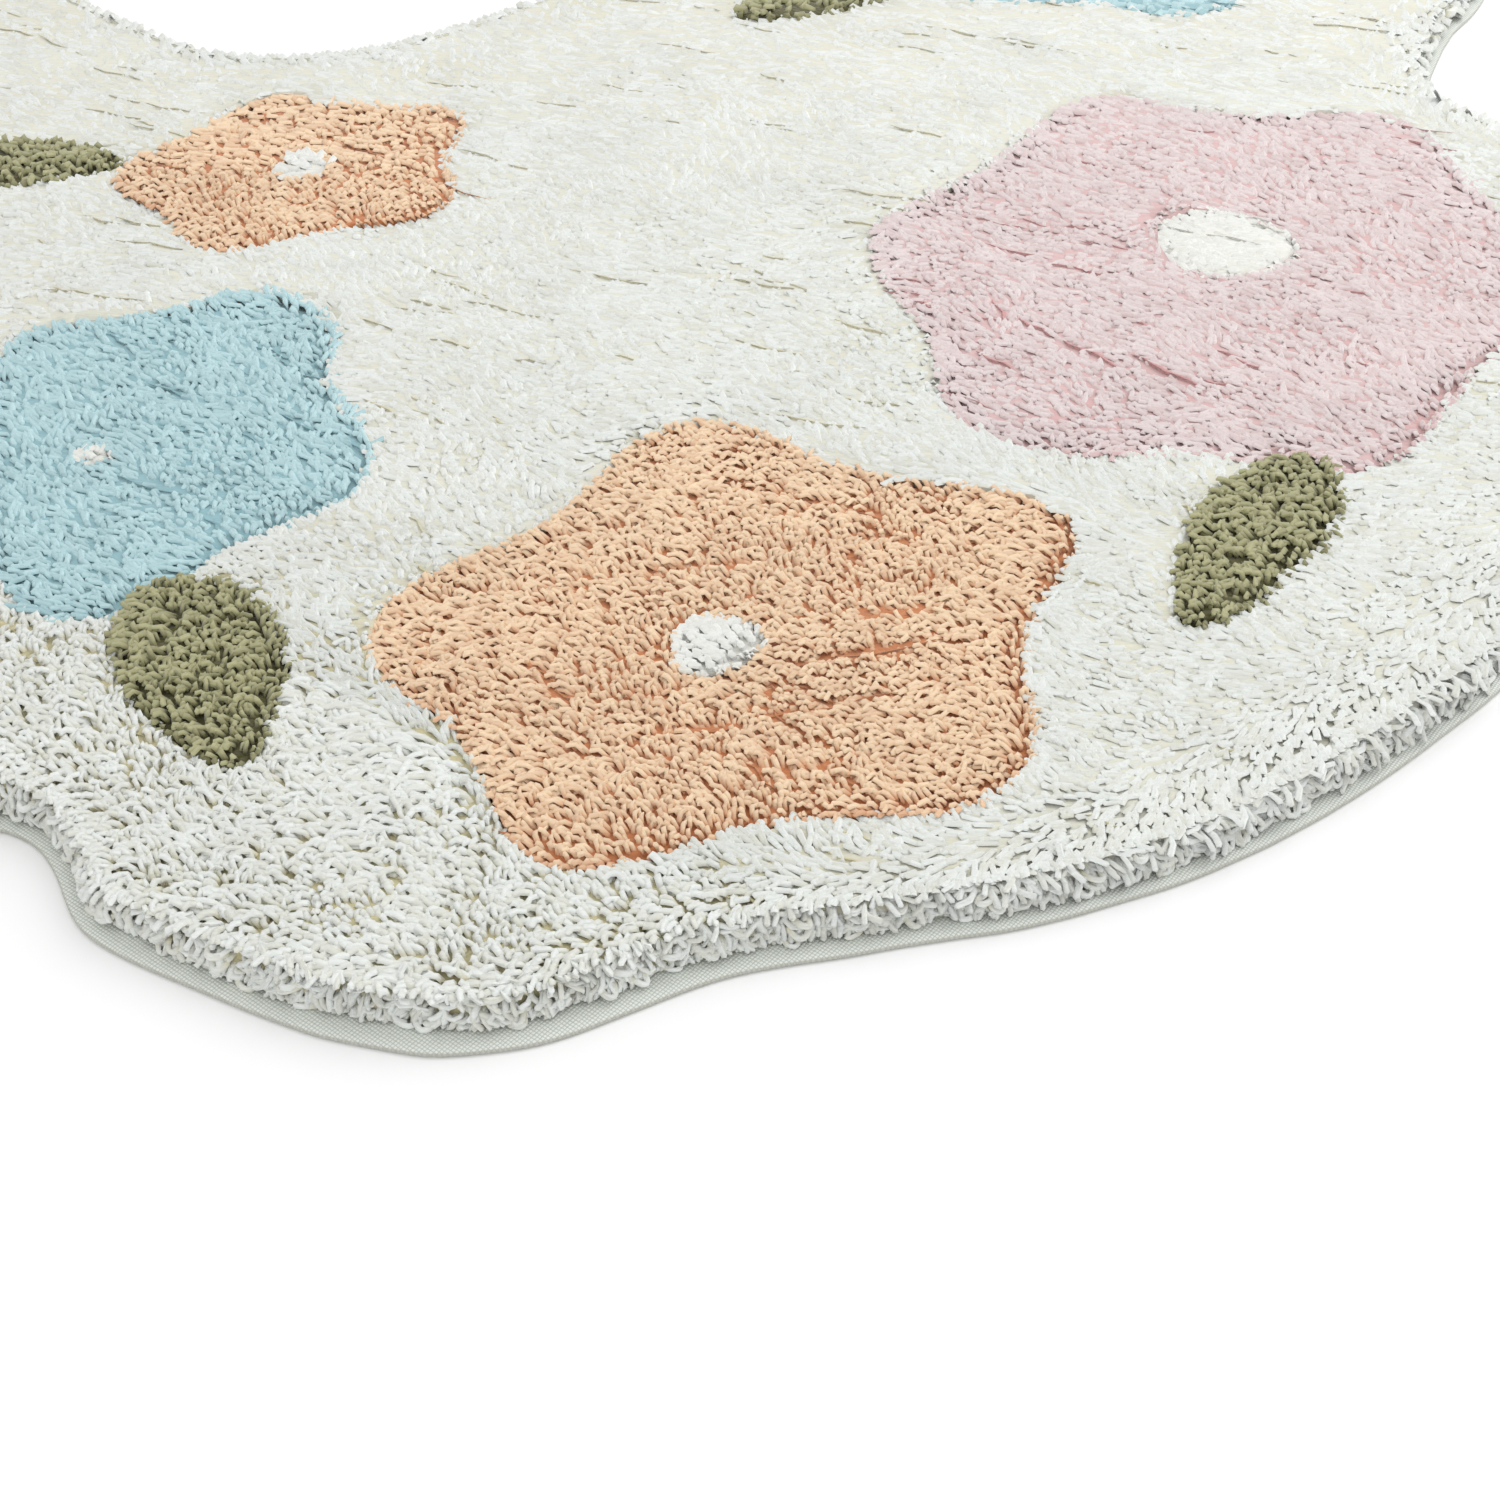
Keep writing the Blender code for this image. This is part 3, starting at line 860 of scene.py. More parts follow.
# %% [markdown]
# ## How the ends lean
#
# Cut pile never stands straight. Feet and folding press it into soft swirls, neighbouring ends
# gather into small locks, and at the edge of a motif the ends are a little shorter, which is why
# each petal looks carved. The lean at a place is one heading that drifts slowly, with finer drifts
# and a little chance on top.

# %% Lean and locks
LEAN = 0.0068                 # how far an end leans over, on average
HEADING = 152                 # most ends were pressed towards -X and a little to +Y
LOCK_SIZE = 0.0085            # distance between the small locks of yarn
GATHER = 0.16                 # how much of the way each end is drawn to the middle of its lock
CARVED = 0.0050               # width of the carved edge of a motif
CARVE_DEPTH = 0.0022          # how much shorter the ends are at that edge


def lock_middles(points, seed):
    """The middle of the small lock that each end belongs to."""
    cell = np.floor(points / LOCK_SIZE).astype(int)
    best = np.full(len(points), np.inf)
    middle = np.zeros_like(points)
    table = np.random.default_rng(seed).uniform(0.1, 0.9, (LATTICE, LATTICE, 2))
    for dx in (-1, 0, 1):
        for dy in (-1, 0, 1):
            there = cell + (dx, dy)
            place = (there + table[there[:, 0] % LATTICE, there[:, 1] % LATTICE]) * LOCK_SIZE
            distance = np.linalg.norm(place - points, axis=1)
            closer = distance < best
            best[closer] = distance[closer]
            middle[closer] = place[closer]
    return middle


def swirl(points, heading, unrest, seed):
    """The way the pile lies at each place: a slow turn about one heading, with finer unrest."""
    x, y = points.T
    chance = np.random.default_rng(seed + 5)
    turn = (
        np.radians(heading)
        + 0.5 * drift(x, y, 0.085, seed)
        + 0.5 * drift(x, y, 0.028, seed + 1)
        + 0.4 * drift(x, y, 0.011, seed + 2)
        + chance.normal(0, unrest, len(points))
    )
    amount = 1 + 0.35 * drift(x, y, 0.05, seed + 3) + 0.45 * drift(x, y, 0.014, seed + 4)
    amount = amount * chance.uniform(0.7, 1.2, len(points))
    return LEAN * amount[:, None] * np.column_stack([np.cos(turn), np.sin(turn)])


here_and_there = np.array([[0.0, -0.3], [0.3, -0.4]])
print("lean at two places, in mm:", (swirl(here_and_there, HEADING, 0, 1) * 1000).round(1).tolist())

# %% [markdown]
# Here and there two rows part and show the deeper colour, painted shade on the ends beside the
# parting. The partings that the photograph shows on its flowers are listed by where they start
# and end in it, and others are scattered over the rest. A parting pushes the ends beside it
# apart, leans them outwards and sets them lower, and a narrow strip of packed roots, darkened as
# painted shade, closes its bottom.

# %% Partings
PARTINGS = (
    # where it starts and ends in the photograph, column and row, and how far it opens
    (1017, 319, 1053, 336, 0.0024),
    (1061, 339, 1127, 370, 0.0028),
    (1130, 354, 1204, 390, 0.0036),
    (974, 352, 1017, 372, 0.0024),
    (992, 298, 1010, 329, 0.0015),
    (1214, 347, 1269, 372, 0.0026),
    (915, 301, 938, 311, 0.0015),
    (1137, 321, 1155, 331, 0.0012),
    (521, 262, 662, 286, 0.0013),
    (420, 271, 509, 302, 0.0014),
    (726, 277, 821, 293, 0.0013),
    (818, 314, 900, 338, 0.0014),
    (490, 415, 521, 433, 0.0014),
    (343, 385, 411, 425, 0.0015),
    (466, 468, 484, 452, 0.0018),
    (405, 273, 498, 295, 0.0014),
    (426, 338, 498, 354, 0.0012),
    (52, 292, 89, 298, 0.0012),
    (21, 654, 43, 660, 0.0016),
    (625, 581, 787, 563, 0.0013),
    (860, 623, 990, 602, 0.0014),
    (780, 671, 966, 637, 0.0012),
    (753, 723, 904, 692, 0.0011),
    (615, 705, 725, 685, 0.0012),
    (646, 740, 753, 723, 0.0010),
    (784, 774, 939, 754, 0.0012),
    (853, 533, 932, 544, 0.0014),
    (655, 464, 668, 461, 0.0020),
    (634, 486, 652, 488, 0.0020),
    (800, 475, 812, 474, 0.0018),
    (662, 557, 678, 559, 0.0018),
    (752, 600, 770, 602, 0.0019),
    (768, 688, 786, 690, 0.0018),
    (61, 428, 89, 440, 0.0016),
    (151, 431, 207, 434, 0.0013),
    (34, 378, 49, 385, 0.0018),
    (204, 515, 225, 536, 0.0018),
    (275, 443, 337, 459, 0.0017),
    (250, 344, 293, 360, 0.0016),
    (231, 488, 246, 491, 0.0019),
    (164, 317, 190, 322, 0.0013),
    (105, 335, 136, 351, 0.0016),
)
COMBED_FROM = -0.30           # behind this y the pile was combed, and its partings are long
PARTING_REACH = 0.0065        # a parting moves the ends this near to it
PARTING_SEEN = 0.0035         # and opens the view to the roots of the ends this near, which sink and get painted shade
WIDE_OPEN = 0.0016            # a parting that opens by this much gives its ends their full painted shade
WAVE = 0.0012                 # how far a parting winds to either side
LEANT = 0.8                   # and leans its ends outwards by this share of its push
PARTING_FLOOR = 0.0004        # the bottom of a parting lies this far above the bed
FLOOR_STATIONS = 7            # points along that bottom


def seen_partings():
    """The partings that the photograph shows, as rows of x, y, length, heading, opening."""
    rows = []
    for column, row, end_column, end_row, opening in PARTINGS:
        start, end = on_rug(column, row), on_rug(end_column, end_row)
        x, y = (start + end) / 2
        run = end - start
        rows.append((x, y, math.hypot(*run), math.degrees(math.atan2(run[1], run[0])), opening))
    return rows


def more_partings(count, seed):
    """Partings scattered over the whole rug, as such rows."""
    chance = np.random.default_rng(seed)
    low, high = canvas_edge.min(axis=0), canvas_edge.max(axis=0)
    rows = []
    for _ in range(count):
        x, y = chance.uniform(low, high)
        combed = y > COMBED_FROM
        length = chance.uniform(0.018, 0.065) if combed else chance.uniform(0.008, 0.030)
        heading = chance.normal(-24, 8) if combed else chance.normal(-35, 12)
        rows.append((x, y, length, heading, chance.uniform(0.0006, 0.0013)))
    return rows


def open_partings(points, lean, partings):
    """Moves ends away from each parting and leans them outwards. Returns how open each place is."""
    opened = np.zeros(len(points))
    for x, y, length, heading, opening in partings:
        turn = math.radians(heading)
        run = np.array([math.cos(turn), math.sin(turn)])
        aside = np.array([-run[1], run[0]])
        offset = points - (x, y)
        along = offset @ run / (length / 2)
        across = offset @ aside + WAVE * np.sin(5 * along + x * 300)
        near = (np.abs(along) < 1) & (np.abs(across) < PARTING_REACH)
        side = np.where(across[near] < 0, -1.0, 1.0)
        ends = 1 - along[near]**2
        push = opening * ends * (1 - np.abs(across[near]) / PARTING_REACH)
        points[near] += (side * push)[:, None] * aside
        lean[near] += (side * push * LEANT)[:, None] * aside
        seen = ends * np.clip(1 - np.abs(across[near]) / PARTING_SEEN, 0, 1) * opening / WIDE_OPEN
        opened[near] = np.maximum(opened[near], seen)
    return np.clip(opened, 0, 1)


def parting_floors(name, colour, loop, holes):
    """Strips of packed roots, one along the bottom of each parting inside a field, in painted
    shade.
    """
    rows = np.array(partings)
    chosen = inside(loop, rows[:, :2])
    if name == "cream_pile":
        chosen &= to_edge(loop, rows[:, :2], RIM_REACH)[1] > SHOULDER + rows[:, 2] / 2
    for hole in holes:
        chosen &= ~inside(hole, rows[:, :2])
    if not chosen.any():
        return []
    rows = rows[chosen]
    middle, opening = rows[:, :2], rows[:, 4]
    share = np.linspace(-0.5, 0.5, FLOOR_STATIONS)
    turn = np.radians(rows[:, 3])
    run = np.column_stack([np.cos(turn), np.sin(turn), np.zeros(len(rows))])
    rise = np.tile([0.0, 0.0, 1.0], (len(rows), 1))
    aside = np.repeat(np.cross(rise, run)[:, None], FLOOR_STATIONS, axis=1)
    wave = WAVE * np.sin(10 * share + rows[:, :1] * 300)
    brush = brushed(middle, colour)
    height = top_of(name, middle) - bed_drop(brush) + PARTING_FLOOR
    paths = (np.column_stack([middle, height])[:, None]
             + run[:, None] * (rows[:, 2:3] * share)[:, :, None] - aside * wave[:, :, None])
    widest = 0.0002 + (0.22 + 0.6 * brush) * opening
    radii = widest[:, None] * np.sin(np.pi * (share[1:-1] + 0.5))**0.5
    # painted shade: a floor is darker the wider its parting opens, less where brushed, in root
    # colour
    tones = -2.0 * np.clip(opening / 0.0020, 0.4, 1) * (1 - 0.9 * brush)
    depths = np.tile(0.60 * brush[:, None]**2, (1, FLOOR_STATIONS))
    return [spin_yarn(paths, aside, radii, 3, tones, depths, rise, soft=0.7, flat=0.3)]


partings = seen_partings() + more_partings(520, 11)
print("partings:", len(partings))

# %% [markdown]
# ## Filling a field
#
# One function fills any field: it takes the stitches inside the field's outline, reads the height
# of the solid's upper side above each one, and lays an end of yarn there. The bed is the solid
# itself, pressed down, so no canvas shows through between the ends. Beside another colour the
# ends lean just over the edge, so that the two colours meet without a gap.

# %% Fill one field with yarn
END_RADIUS = 0.00140          # half the thickness of one end of yarn
OVERLAP = 0.004               # ends are sought this far past a rough box
EDGE_REACH = 0.007            # ends this near another colour lean towards its edge
BORDER_CLEAR = 0.0030         # rows stop this far from an outline, where a border row takes over
BORDER_INSET = 0.0017         # the border row runs this far inside the outline
TRIMMED = 0.0050              # the ends this near a motif's front edge show more of their sides, painted in shade
RIM_REACH = 0.06              # how far from a field's outline its ends heed it
TURNED_OUT = 0.024            # this near to the rim, the ground's ends turn towards it
TURNED_MORE = 0.036           # and on the right from so much further in
FRONT_PAINTED_SHADE = 0.55           # how much of its pale tip colour an end at a front edge loses: painted shade
PARTING_PAINTED_SHADE = 0.75         # and an end at a wide parting, also painted shade
SWELL, SWELL_SIZE = 0.0008, 0.012     # height and width of the soft humps of the pile
UNEVEN_TOP = 0.0006           # how much the ends differ in height
SHORTEST, LONGEST = 0.0015, 0.0125    # an end leans over between these
CURL = 0.5                    # how far an end turns aside on its way, in radians
SHOULDER = 0.0065             # the ground's ends stop this far inside the rim
RIM_CLEAR = 0.0045            # and none of them reaches nearer to it than this
WISPY_FROM, WISPY_TO = 0.30, 0.48     # the rim's ends grow longer between these x
CALMED = 0.45                 # brushing takes this share of the pile's unrest
EVENED = 0.75                 # and this share of the differences in height from end to end
SUNK_CRISP, SUNK_BRUSHED = 0.0040, 0.0008     # how much lower the ends at a parting lie
FLEECE = 0.5                  # a pile that is brushed more than this needs only simple ends
FAR = 1.5                     # and so does one whose stitches are this much wider apart
OVER_EDGE = 0.0022            # a motif's ends reach up to this far over its outline
HOLE_REACH = 0.012            # how far from a motif the ends around it heed its outline
OVER_HOLE = 0.0012            # and how far they reach over it


def wispy(places):
    """How far the rim's ends have changed to the long ones of the right, from 0 to 1."""
    return np.clip((places[:, 0] - WISPY_FROM) / (WISPY_TO - WISPY_FROM), 0, 1)


def carve(gap):
    """How much shorter the ends are at each distance from a motif's outline."""
    return CARVE_DEPTH * np.clip(1 - gap / CARVED, 0, 1)**1.5


def field_stitches(loop, holes, colour, seed, at_rim):
    """Where the stitches of a field go, inside the loop and outside the holes, and widenings."""
    points, wider = stitches(loop.min(axis=0) - OVERLAP, loop.max(axis=0) + OVERLAP, colour, seed)
    kept = to_edge(loop, points, RIM_REACH)[1] > (SHOULDER if at_rim else BORDER_CLEAR)
    for hole in holes:
        kept &= to_edge(hole, points, 0.01)[1] > BORDER_CLEAR
    rows = [(points[kept], wider[kept])]
    if not at_rim:
        rows.append(beside_outline(loop, BORDER_INSET, seed + 80))
    for index, hole in enumerate(holes):
        rows.append(beside_outline(hole, -BORDER_INSET, seed + 81 + index))
    points = np.concatenate([row[0] for row in rows])
    wider = np.concatenate([row[1] for row in rows])
    kept = inside(loop, points)
    for hole in holes:
        kept &= ~inside(hole, points)
    return points[kept], wider[kept]


def fill_field(name, colour, loop, holes, seed, thick=1.0, unrest=0.34, reach=1.0, gather=GATHER):
    """The ends of yarn of one solid, in parts. Holes are outlines that other fields fill."""
    at_rim = name == "cream_pile"
    points, wider = field_stitches(loop, holes, colour, seed, at_rim)
    way, gap = to_edge(loop, points, RIM_REACH)
    surface = top_of(name, points)
    brush = brushed(points, colour)
    lean = swirl(points, HEADING, unrest * (1 - CALMED * brush), seed + 20) * reach
    middles = lock_middles(points + lean * 0.5, seed + 40)
    lean += gather * (middles - points - lean * 0.5)
    carved = np.zeros(len(points))
    painted_shade = np.zeros(len(points))
    chance = np.random.default_rng(seed + 60)
    fuzz = chance.uniform(0, 1, len(points))
    if at_rim:
        turned = np.clip(1 - gap / (TURNED_OUT + TURNED_MORE * wispy(points)), 0, 1)
        lean = turned_towards(lean, way, turned)
    else:
        carved = carve(gap)
        # ends at a motif's front edge show their sides, painted in shade
        facing_front = np.clip(0.25 - 1.1 * way[:, 1] / (gap + 1e-9), 0, 1)
        painted_shade = FRONT_PAINTED_SHADE * facing_front * np.clip(1 - gap / TRIMMED, 0, 1)
        keep_to_edge(lean, way, gap, OVER_EDGE * fuzz)
    opened = open_partings(points, lean, partings)
    for hole in holes:
        back, gap = to_edge(hole, points, HOLE_REACH)
        beside = gap < HOLE_REACH
        carved[beside] = np.maximum(carved, carve(gap))[beside]
        near = lean[beside]
        keep_to_edge(near, back[beside], gap[beside], OVER_HOLE * fuzz[beside])
        lean[beside] = near
    # ends beside a wide parting get painted shade too, less where brushed
    painted_shade = np.maximum(painted_shade, PARTING_PAINTED_SHADE * opened * (1 - 0.6 * brush))
    height = surface - carved * (1 - 0.85 * brush)
    height += SWELL * (1 - 0.7 * brush) * drift(*points.T, SWELL_SIZE, seed + 61)
    height += (1 - EVENED * brush) * chance.normal(0, UNEVEN_TOP, len(points))
    height -= (SUNK_BRUSHED + (SUNK_CRISP - SUNK_BRUSHED) * (1 - brush)) * opened
    brush = brush * (1 - 0.5 * opened)
    uneven = chance.uniform(0.82, 1.15, len(points))
    length = np.clip(np.linalg.norm(lean, axis=1), SHORTEST, LONGEST)
    length *= wider**0.5 * (1 + 0.35 * brush)
    if at_rim:
        room = to_edge(loop, points, RIM_REACH)[1] - RIM_CLEAR
        length = np.minimum(length, np.maximum(room, 0.003))
    slope = slope_along(name, points, lean, surface)[:, None]
    heading = unit(lean)
    steep = np.sqrt(1 + slope**2)
    ends = {
        "base": np.column_stack([points, height]),
        "out": np.column_stack([heading, slope]) / steep,
        "up": np.column_stack([-heading * slope, np.ones(len(points))]) / steep,
        "length": length,
        "thickness": END_RADIUS * thick * wider**0.97 * (1 + 0.15 * brush) * uneven,
        "brush": brush,
        "painted_shade": painted_shade,
        "curl": np.clip(chance.normal(0, CURL, len(points)), -1.2, 1.2) * (1 - 0.5 * brush),
        "tone": chance.uniform(0, 1, len(points)),
    }
    soft = brush > FLEECE
    crisp = (wider < FAR) & ~soft
    return lay_each(ends, ((crisp, LONG_END if at_rim else FINE_END), (soft, SOFT_END),
                           (~crisp & ~soft, PLAIN_END)))


def keep_to_edge(lean, way, gap, past):
    """Ends beside another colour lean up to its edge, and no further past it than past."""
    towards = way / (gap[:, None] + 1e-9)
    reach = (lean * towards).sum(axis=1)
    over = np.maximum(reach - gap - past, 0)
    short = np.maximum(gap - reach, 0) * np.clip(1 - gap / EDGE_REACH, 0, 1)
    lean += (short - over)[:, None] * towards


def turned_towards(lean, way, share):
    """Leans turned by a share of the angle towards another way, without growing shorter."""
    angle = np.arctan2(lean[:, 1], lean[:, 0])
    wanted = np.arctan2(way[:, 1], way[:, 0])
    angle = angle + share * ((wanted - angle + math.pi) % (2 * math.pi) - math.pi)
    length = np.linalg.norm(lean, axis=1) * (1 - share) + LEAN * 1.1 * share
    return length[:, None] * np.column_stack([np.cos(angle), np.sin(angle)])


# %% [markdown]
# Leaves, centres and petals are filled in this order. The petals leave out their own centre and
# every leaf that lies over them. Each colour has its manner: the apricot ends are a little finer,
# the white ones thick and soft, and the olive ones stand more upright and gather into tufts.

# %% Petals, centres and leaves
COLOUR_OF = {
    "petals_front_mid": "blue", "petals_front_right": "apricot", "petals_right": "pink",
    "petals_front_left": "pink", "petals_left": "apricot", "petals_head_right": "blue",
    "petals_head_left": "pink", "petals_middle": "apricot",
}
BED_MARGIN = 0.0015           # a motif's bed stays this far inside its outline
total_faces = 0


def lay_field(name, colour, holes, seed, **manner):
    """Fills a motif, makes it one piece and puts it in the place of its solid."""
    ends = fill_field(name, colour, outlines[name], holes, seed, **manner)
    edge = outlines[name] - outward(outlines[name]) * BED_MARGIN
    bed = pressed_bed(name, colour, edge)
    part = join_parts([bed] + parting_floors(name, colour, outlines[name], holes) + ends)
    put_in_place(make_piece(name + "_yarn", part, yarn[colour]), name)
    return face_count(part)


leaf_outlines = [outlines[name] for name in leaves]
MANNER = {
    # yarn: how its ends differ from the cream ones
    "olive": {"thick": 0.95, "unrest": 0.8, "reach": 0.80, "gather": 0.34},
    "white": {"thick": 1.3, "reach": 0.8, "gather": 0.08},
    "apricot": {"thick": 0.84, "unrest": 0.28, "reach": 0.85},
    "blue": {"thick": 0.95, "reach": 0.85, "gather": 0.24},
    "pink": {"thick": 0.95, "reach": 0.80, "gather": 0.20},
}
for index, name in enumerate(leaves):
    total_faces += lay_field(name, "olive", [], 100 + index, **MANNER["olive"])
for index, name in enumerate(centres):
    total_faces += lay_field(name, "white", [], 200 + index, **MANNER["white"])
for index, name in enumerate(flowers):
    eye = outlines[name.replace("petals", "centre")]
    colour = COLOUR_OF[name]
    total_faces += lay_field(name, colour, [eye] + leaf_outlines, 300 + index, **MANNER[colour])
print("motif triangles:", total_faces)

# %% [markdown]
# ## The cream ground
#
# The ground is filled in the same way, almost up to the rim. It has too many ends for one handy
# mesh, so its yarn is kept in several pieces: the crisp ends, the brushed ones in three shares,
# and the simple ones, which are crisp but far from the camera.

# %% Cream ground
PIECE_LIMIT = 150_000         # triangles in one piece
BED_INSET = 0.0060            # the bed stays this far inside the rim of the yarn
RECESS = 0.0014               # the pile ends this far inside its nominal rim
DEEP_RECESS = (0.19, -0.59, 0.10, 0.0025)     # x, y, size, depth of a place where it ends earlier


def recess_at(places):
    """How far inside its nominal rim the pile ends at each place."""
    x, y = places.T
    middle_x, middle_y, size, depth = DEEP_RECESS
    deep = depth * np.exp(-((x - middle_x)**2 + (y - middle_y)**2) / size**2)
    return RECESS + deep + 0.0012 * drift(x, y, 0.022, 870)


holes = [outlines[name] for name in flowers + leaves]
ground = fill_field("cream_pile", "cream", pile_rim, holes, 500, thick=1.0, reach=1.05, gather=0.22)
bed_rim = pile_rim - outward(pile_rim) * (BED_INSET + recess_at(pile_rim))[:, None]
bed_part = join_parts([pressed_bed("cream_pile", "cream", bed_rim)]
                      + parting_floors("cream_pile", "cream", pile_rim, holes))
put_in_place(make_piece("cream_pile_bed", bed_part, yarn["cream"]), "cream_pile")


def split_ends(part):
    """Cuts a field of equal ends into shares below the limit, in the order of its points."""
    points_each, triangles_each, quads_each = part["each"]
    ends = len(part["points"]) // points_each
    shares = math.ceil(face_count(part) / PIECE_LIMIT)
    cuts = np.linspace(0, ends, shares + 1).astype(int)
    for a, b in zip(cuts[:-1], cuts[1:]):
        share = {name: part[name][a * points_each:b * points_each] for name in ON_POINTS}
        for faces, each in (("triangles", triangles_each), ("quads", quads_each)):
            share[faces] = part[faces][a * each:b * each] - a * points_each
        yield share


shares = [share for part in ground for share in split_ends(part)]
for index, share in enumerate(shares):
    piece = make_piece(f"cream_pile_yarn_{index + 1}", share, yarn["cream"])
    put_in_place(piece, "cream_pile")
    total_faces += face_count(share)
print("cream pieces:", [face_count(share) for share in shares], "triangles so far:", total_faces)

# %% [markdown]
# ## The rim
#
# At the rim the pile rounds off. Its ends lie down over the shoulder, each its own way, and the
# lowest hang over the canvas with some loops that nobody cut. Everything is laid on a quarter of an
# ellipse that runs round the whole rug, a little lumpy, as it is on a rug that was unrolled.

# %% The rounded shoulder
ROUND_IN = 0.0095             # the shoulder starts to fall this far inside the rim
RIM_LOW = 0.0050              # height above the floor where the shoulder is steepest
LUMP = 0.0013                 # how uneven the shoulder is


def shoulder(places, normals, angle):
    """Points on the rounded shoulder, with its outward slope and its surface normal."""
    inner = places - normals * (ROUND_IN + 0.002)
    crown = (top_of("cream_pile", inner) - RIM_LOW)[:, None]
    lumps = LUMP * drift(places[:, 0], places[:, 1], 0.009, 875)
    inset = recess_at(places) + lumps + ROUND_IN * (1 - np.sin(angle))
    cos, sin = np.cos(angle)[:, None], np.sin(angle)[:, None]
    base = np.column_stack([places - normals * inset[:, None], RIM_LOW + crown * cos])
    slope = unit(np.column_stack([normals * ROUND_IN * cos, -crown * sin]))
    up = unit(np.column_stack([normals * crown * sin, ROUND_IN * cos]))
    return base, slope, up


def rim_brush(places):
    """How brushed the rim is: less than the fleece behind it, and more than the crisp pile."""
    return 0.35 + 0.6 * brushed(places, "cream")


# %% [markdown]
# Rows of ends lie on the shoulder, from the top to the canvas. Each row has its own places along
# the rim, so that no seam shows. On the right of the rug the ends are longer, a little thicker and
# lie more evenly, as the photograph shows them combed there.

# %% Rows of ends over the shoulder
RIM_ROWS = (4, 20, 34, 47, 59, 71, 82, 92)    # places on the quarter ellipse, in degrees
RIM_SPACING = 0.0027          # from one end to the next in a row
RIM_RADIUS = 0.00138          # half the thickness of an end at the rim
RIM_LENGTH = 0.0082           # how far it lies along the shoulder


def rim_places(spacing, seed):
    """Places along the rim, their normals and widenings, and the chance that thinned them out."""
    places, normals, wider = walk(pile_rim, spacing, seed)
    chance = np.random.default_rng(seed + 1)
    kept = chance.uniform(0, 1, len(places)) < 1 / wider
    return places[kept], normals[kept], wider[kept], chance


def shoulder_row(degrees, seed):
    """One row of ends that lie over the shoulder."""
    places, normals, wider, chance = rim_places(RIM_SPACING, seed)
    count = len(places)
    angle = np.radians(degrees + chance.normal(0, 6, count))
    base, slope, up = shoulder(places, normals, np.clip(angle, 0, 1.62))
    long = wispy(places)
    side = np.cross(up, slope)
    to_middle = ((lock_middles(base[:, :2], 790) - base[:, :2]) * side[:, :2]).sum(axis=1)
    turn = 0.55 * drift(places[:, 0], places[:, 1], 0.03, 702)
    turn += 0.9 * np.clip(to_middle / LOCK_SIZE, -1, 1) + 0.5 * long
    turn += chance.normal(0, 0.42 - 0.20 * long, count)
    out = slope * np.cos(turn)[:, None] + side * np.sin(turn)[:, None]
    low = np.clip((base[:, 2] - 0.0035) / 0.006, 0.4, 1)
    length = RIM_LENGTH * (1 + 0.5 * long) * low * chance.uniform(0.7, 1.2, count)
    reach_down = np.clip((base[:, 2] - 0.0036) / (length * -np.minimum(out[:, 2], -1e-3)), 0, 1)
    out[:, 2] *= np.where(out[:, 2] < 0, reach_down, 1)
    ends = {
        "base": base, "out": out, "up": up, "length": length, "brush": rim_brush(places),
        "painted_shade": np.zeros(count),
        "thickness": RIM_RADIUS * wider * (1 + 0.1 * long) * chance.uniform(0.82, 1.15, count),
        "curl": np.clip(chance.normal(0, 0.8, count), -1.4, 1.4),
        "tone": chance.uniform(0, 1, count),
    }
    return lay_each(ends, ((wider < 1.4, LONG_END), (wider >= 1.4, PLAIN_END)))


# %% [markdown]
# A loop is the same spindle along a longer path: out of the shoulder, round, and back in.

# %% Uncut loops
LOOP_SPACING = 0.034          # from one uncut loop to the next
LOOP_WIDTH = 0.0031           # half the width of a loop
LOOP_STATIONS = 10            # points along a loop
LOOPS = (
    # seed, place on the quarter ellipse in degrees, and how far they hang out
    (800, 78, 0.0062),
    (810, 62, 0.0060),
    (820, 40, 0.0050),
)


def uncut_loops(seed, degrees, hang):
    """Loops of yarn that leave the shoulder and hang over the canvas."""
    places, normals, wider, chance = rim_places(LOOP_SPACING, seed)
    count = len(places)
    angle = np.radians(degrees + chance.normal(0, 8, count))
    base, slope, up = shoulder(places, normals, np.clip(angle, 0, 1.6))
    round_loop = math.pi * np.linspace(0, 1, LOOP_STATIONS)[None]
    width = LOOP_WIDTH * wider * chance.uniform(0.7, 1.3, count)
    sway = chance.normal(0, 0.0022, count)
    ahead = hang * chance.uniform(0.7, 1.25, count)[:, None] * np.sin(round_loop)**0.75
    aside = -width[:, None] * np.cos(round_loop) + sway[:, None] * np.sin(round_loop)
    above = -0.0022 + 0.0034 * np.sin(round_loop)
    paths = (base[:, None] + slope[:, None] * ahead[:, :, None]
             + np.cross(up, slope)[:, None] * aside[:, :, None] + up[:, None] * above[:, :, None])
    paths[:, :, 2] = np.maximum(paths[:, :, 2], 0.0033)
    thickness = RIM_RADIUS * 0.95 * wider * chance.uniform(0.85, 1.1, count)
    radii = np.repeat(thickness[:, None], LOOP_STATIONS - 2, axis=1)
    # painted shade: the loop's feet, down in the shoulder, take the deeper root colour
    depths = np.tile(0.25 + 0.75 * np.sin(round_loop), (count, 1))
    across = np.repeat(up[:, None], LOOP_STATIONS, axis=1)
    return spin_yarn(paths, across, radii, 4, chance.uniform(0, 1, count), depths, up, CRISP_SOFT)


# %% [markdown]
# The bed of the ground stops short of the rim, so the shoulder gets one of its own: a band with a
# few corners across, a little below the ends. Its faces run from ring to ring and close at the
# bottom.

# %% The bed under the shoulder
RIM_BED = (0, 22, 42, 60, 76, 90)     # places on the quarter ellipse where the bed has a corner
RIM_BED_STEP = 2              # the bed follows every second point of the rim


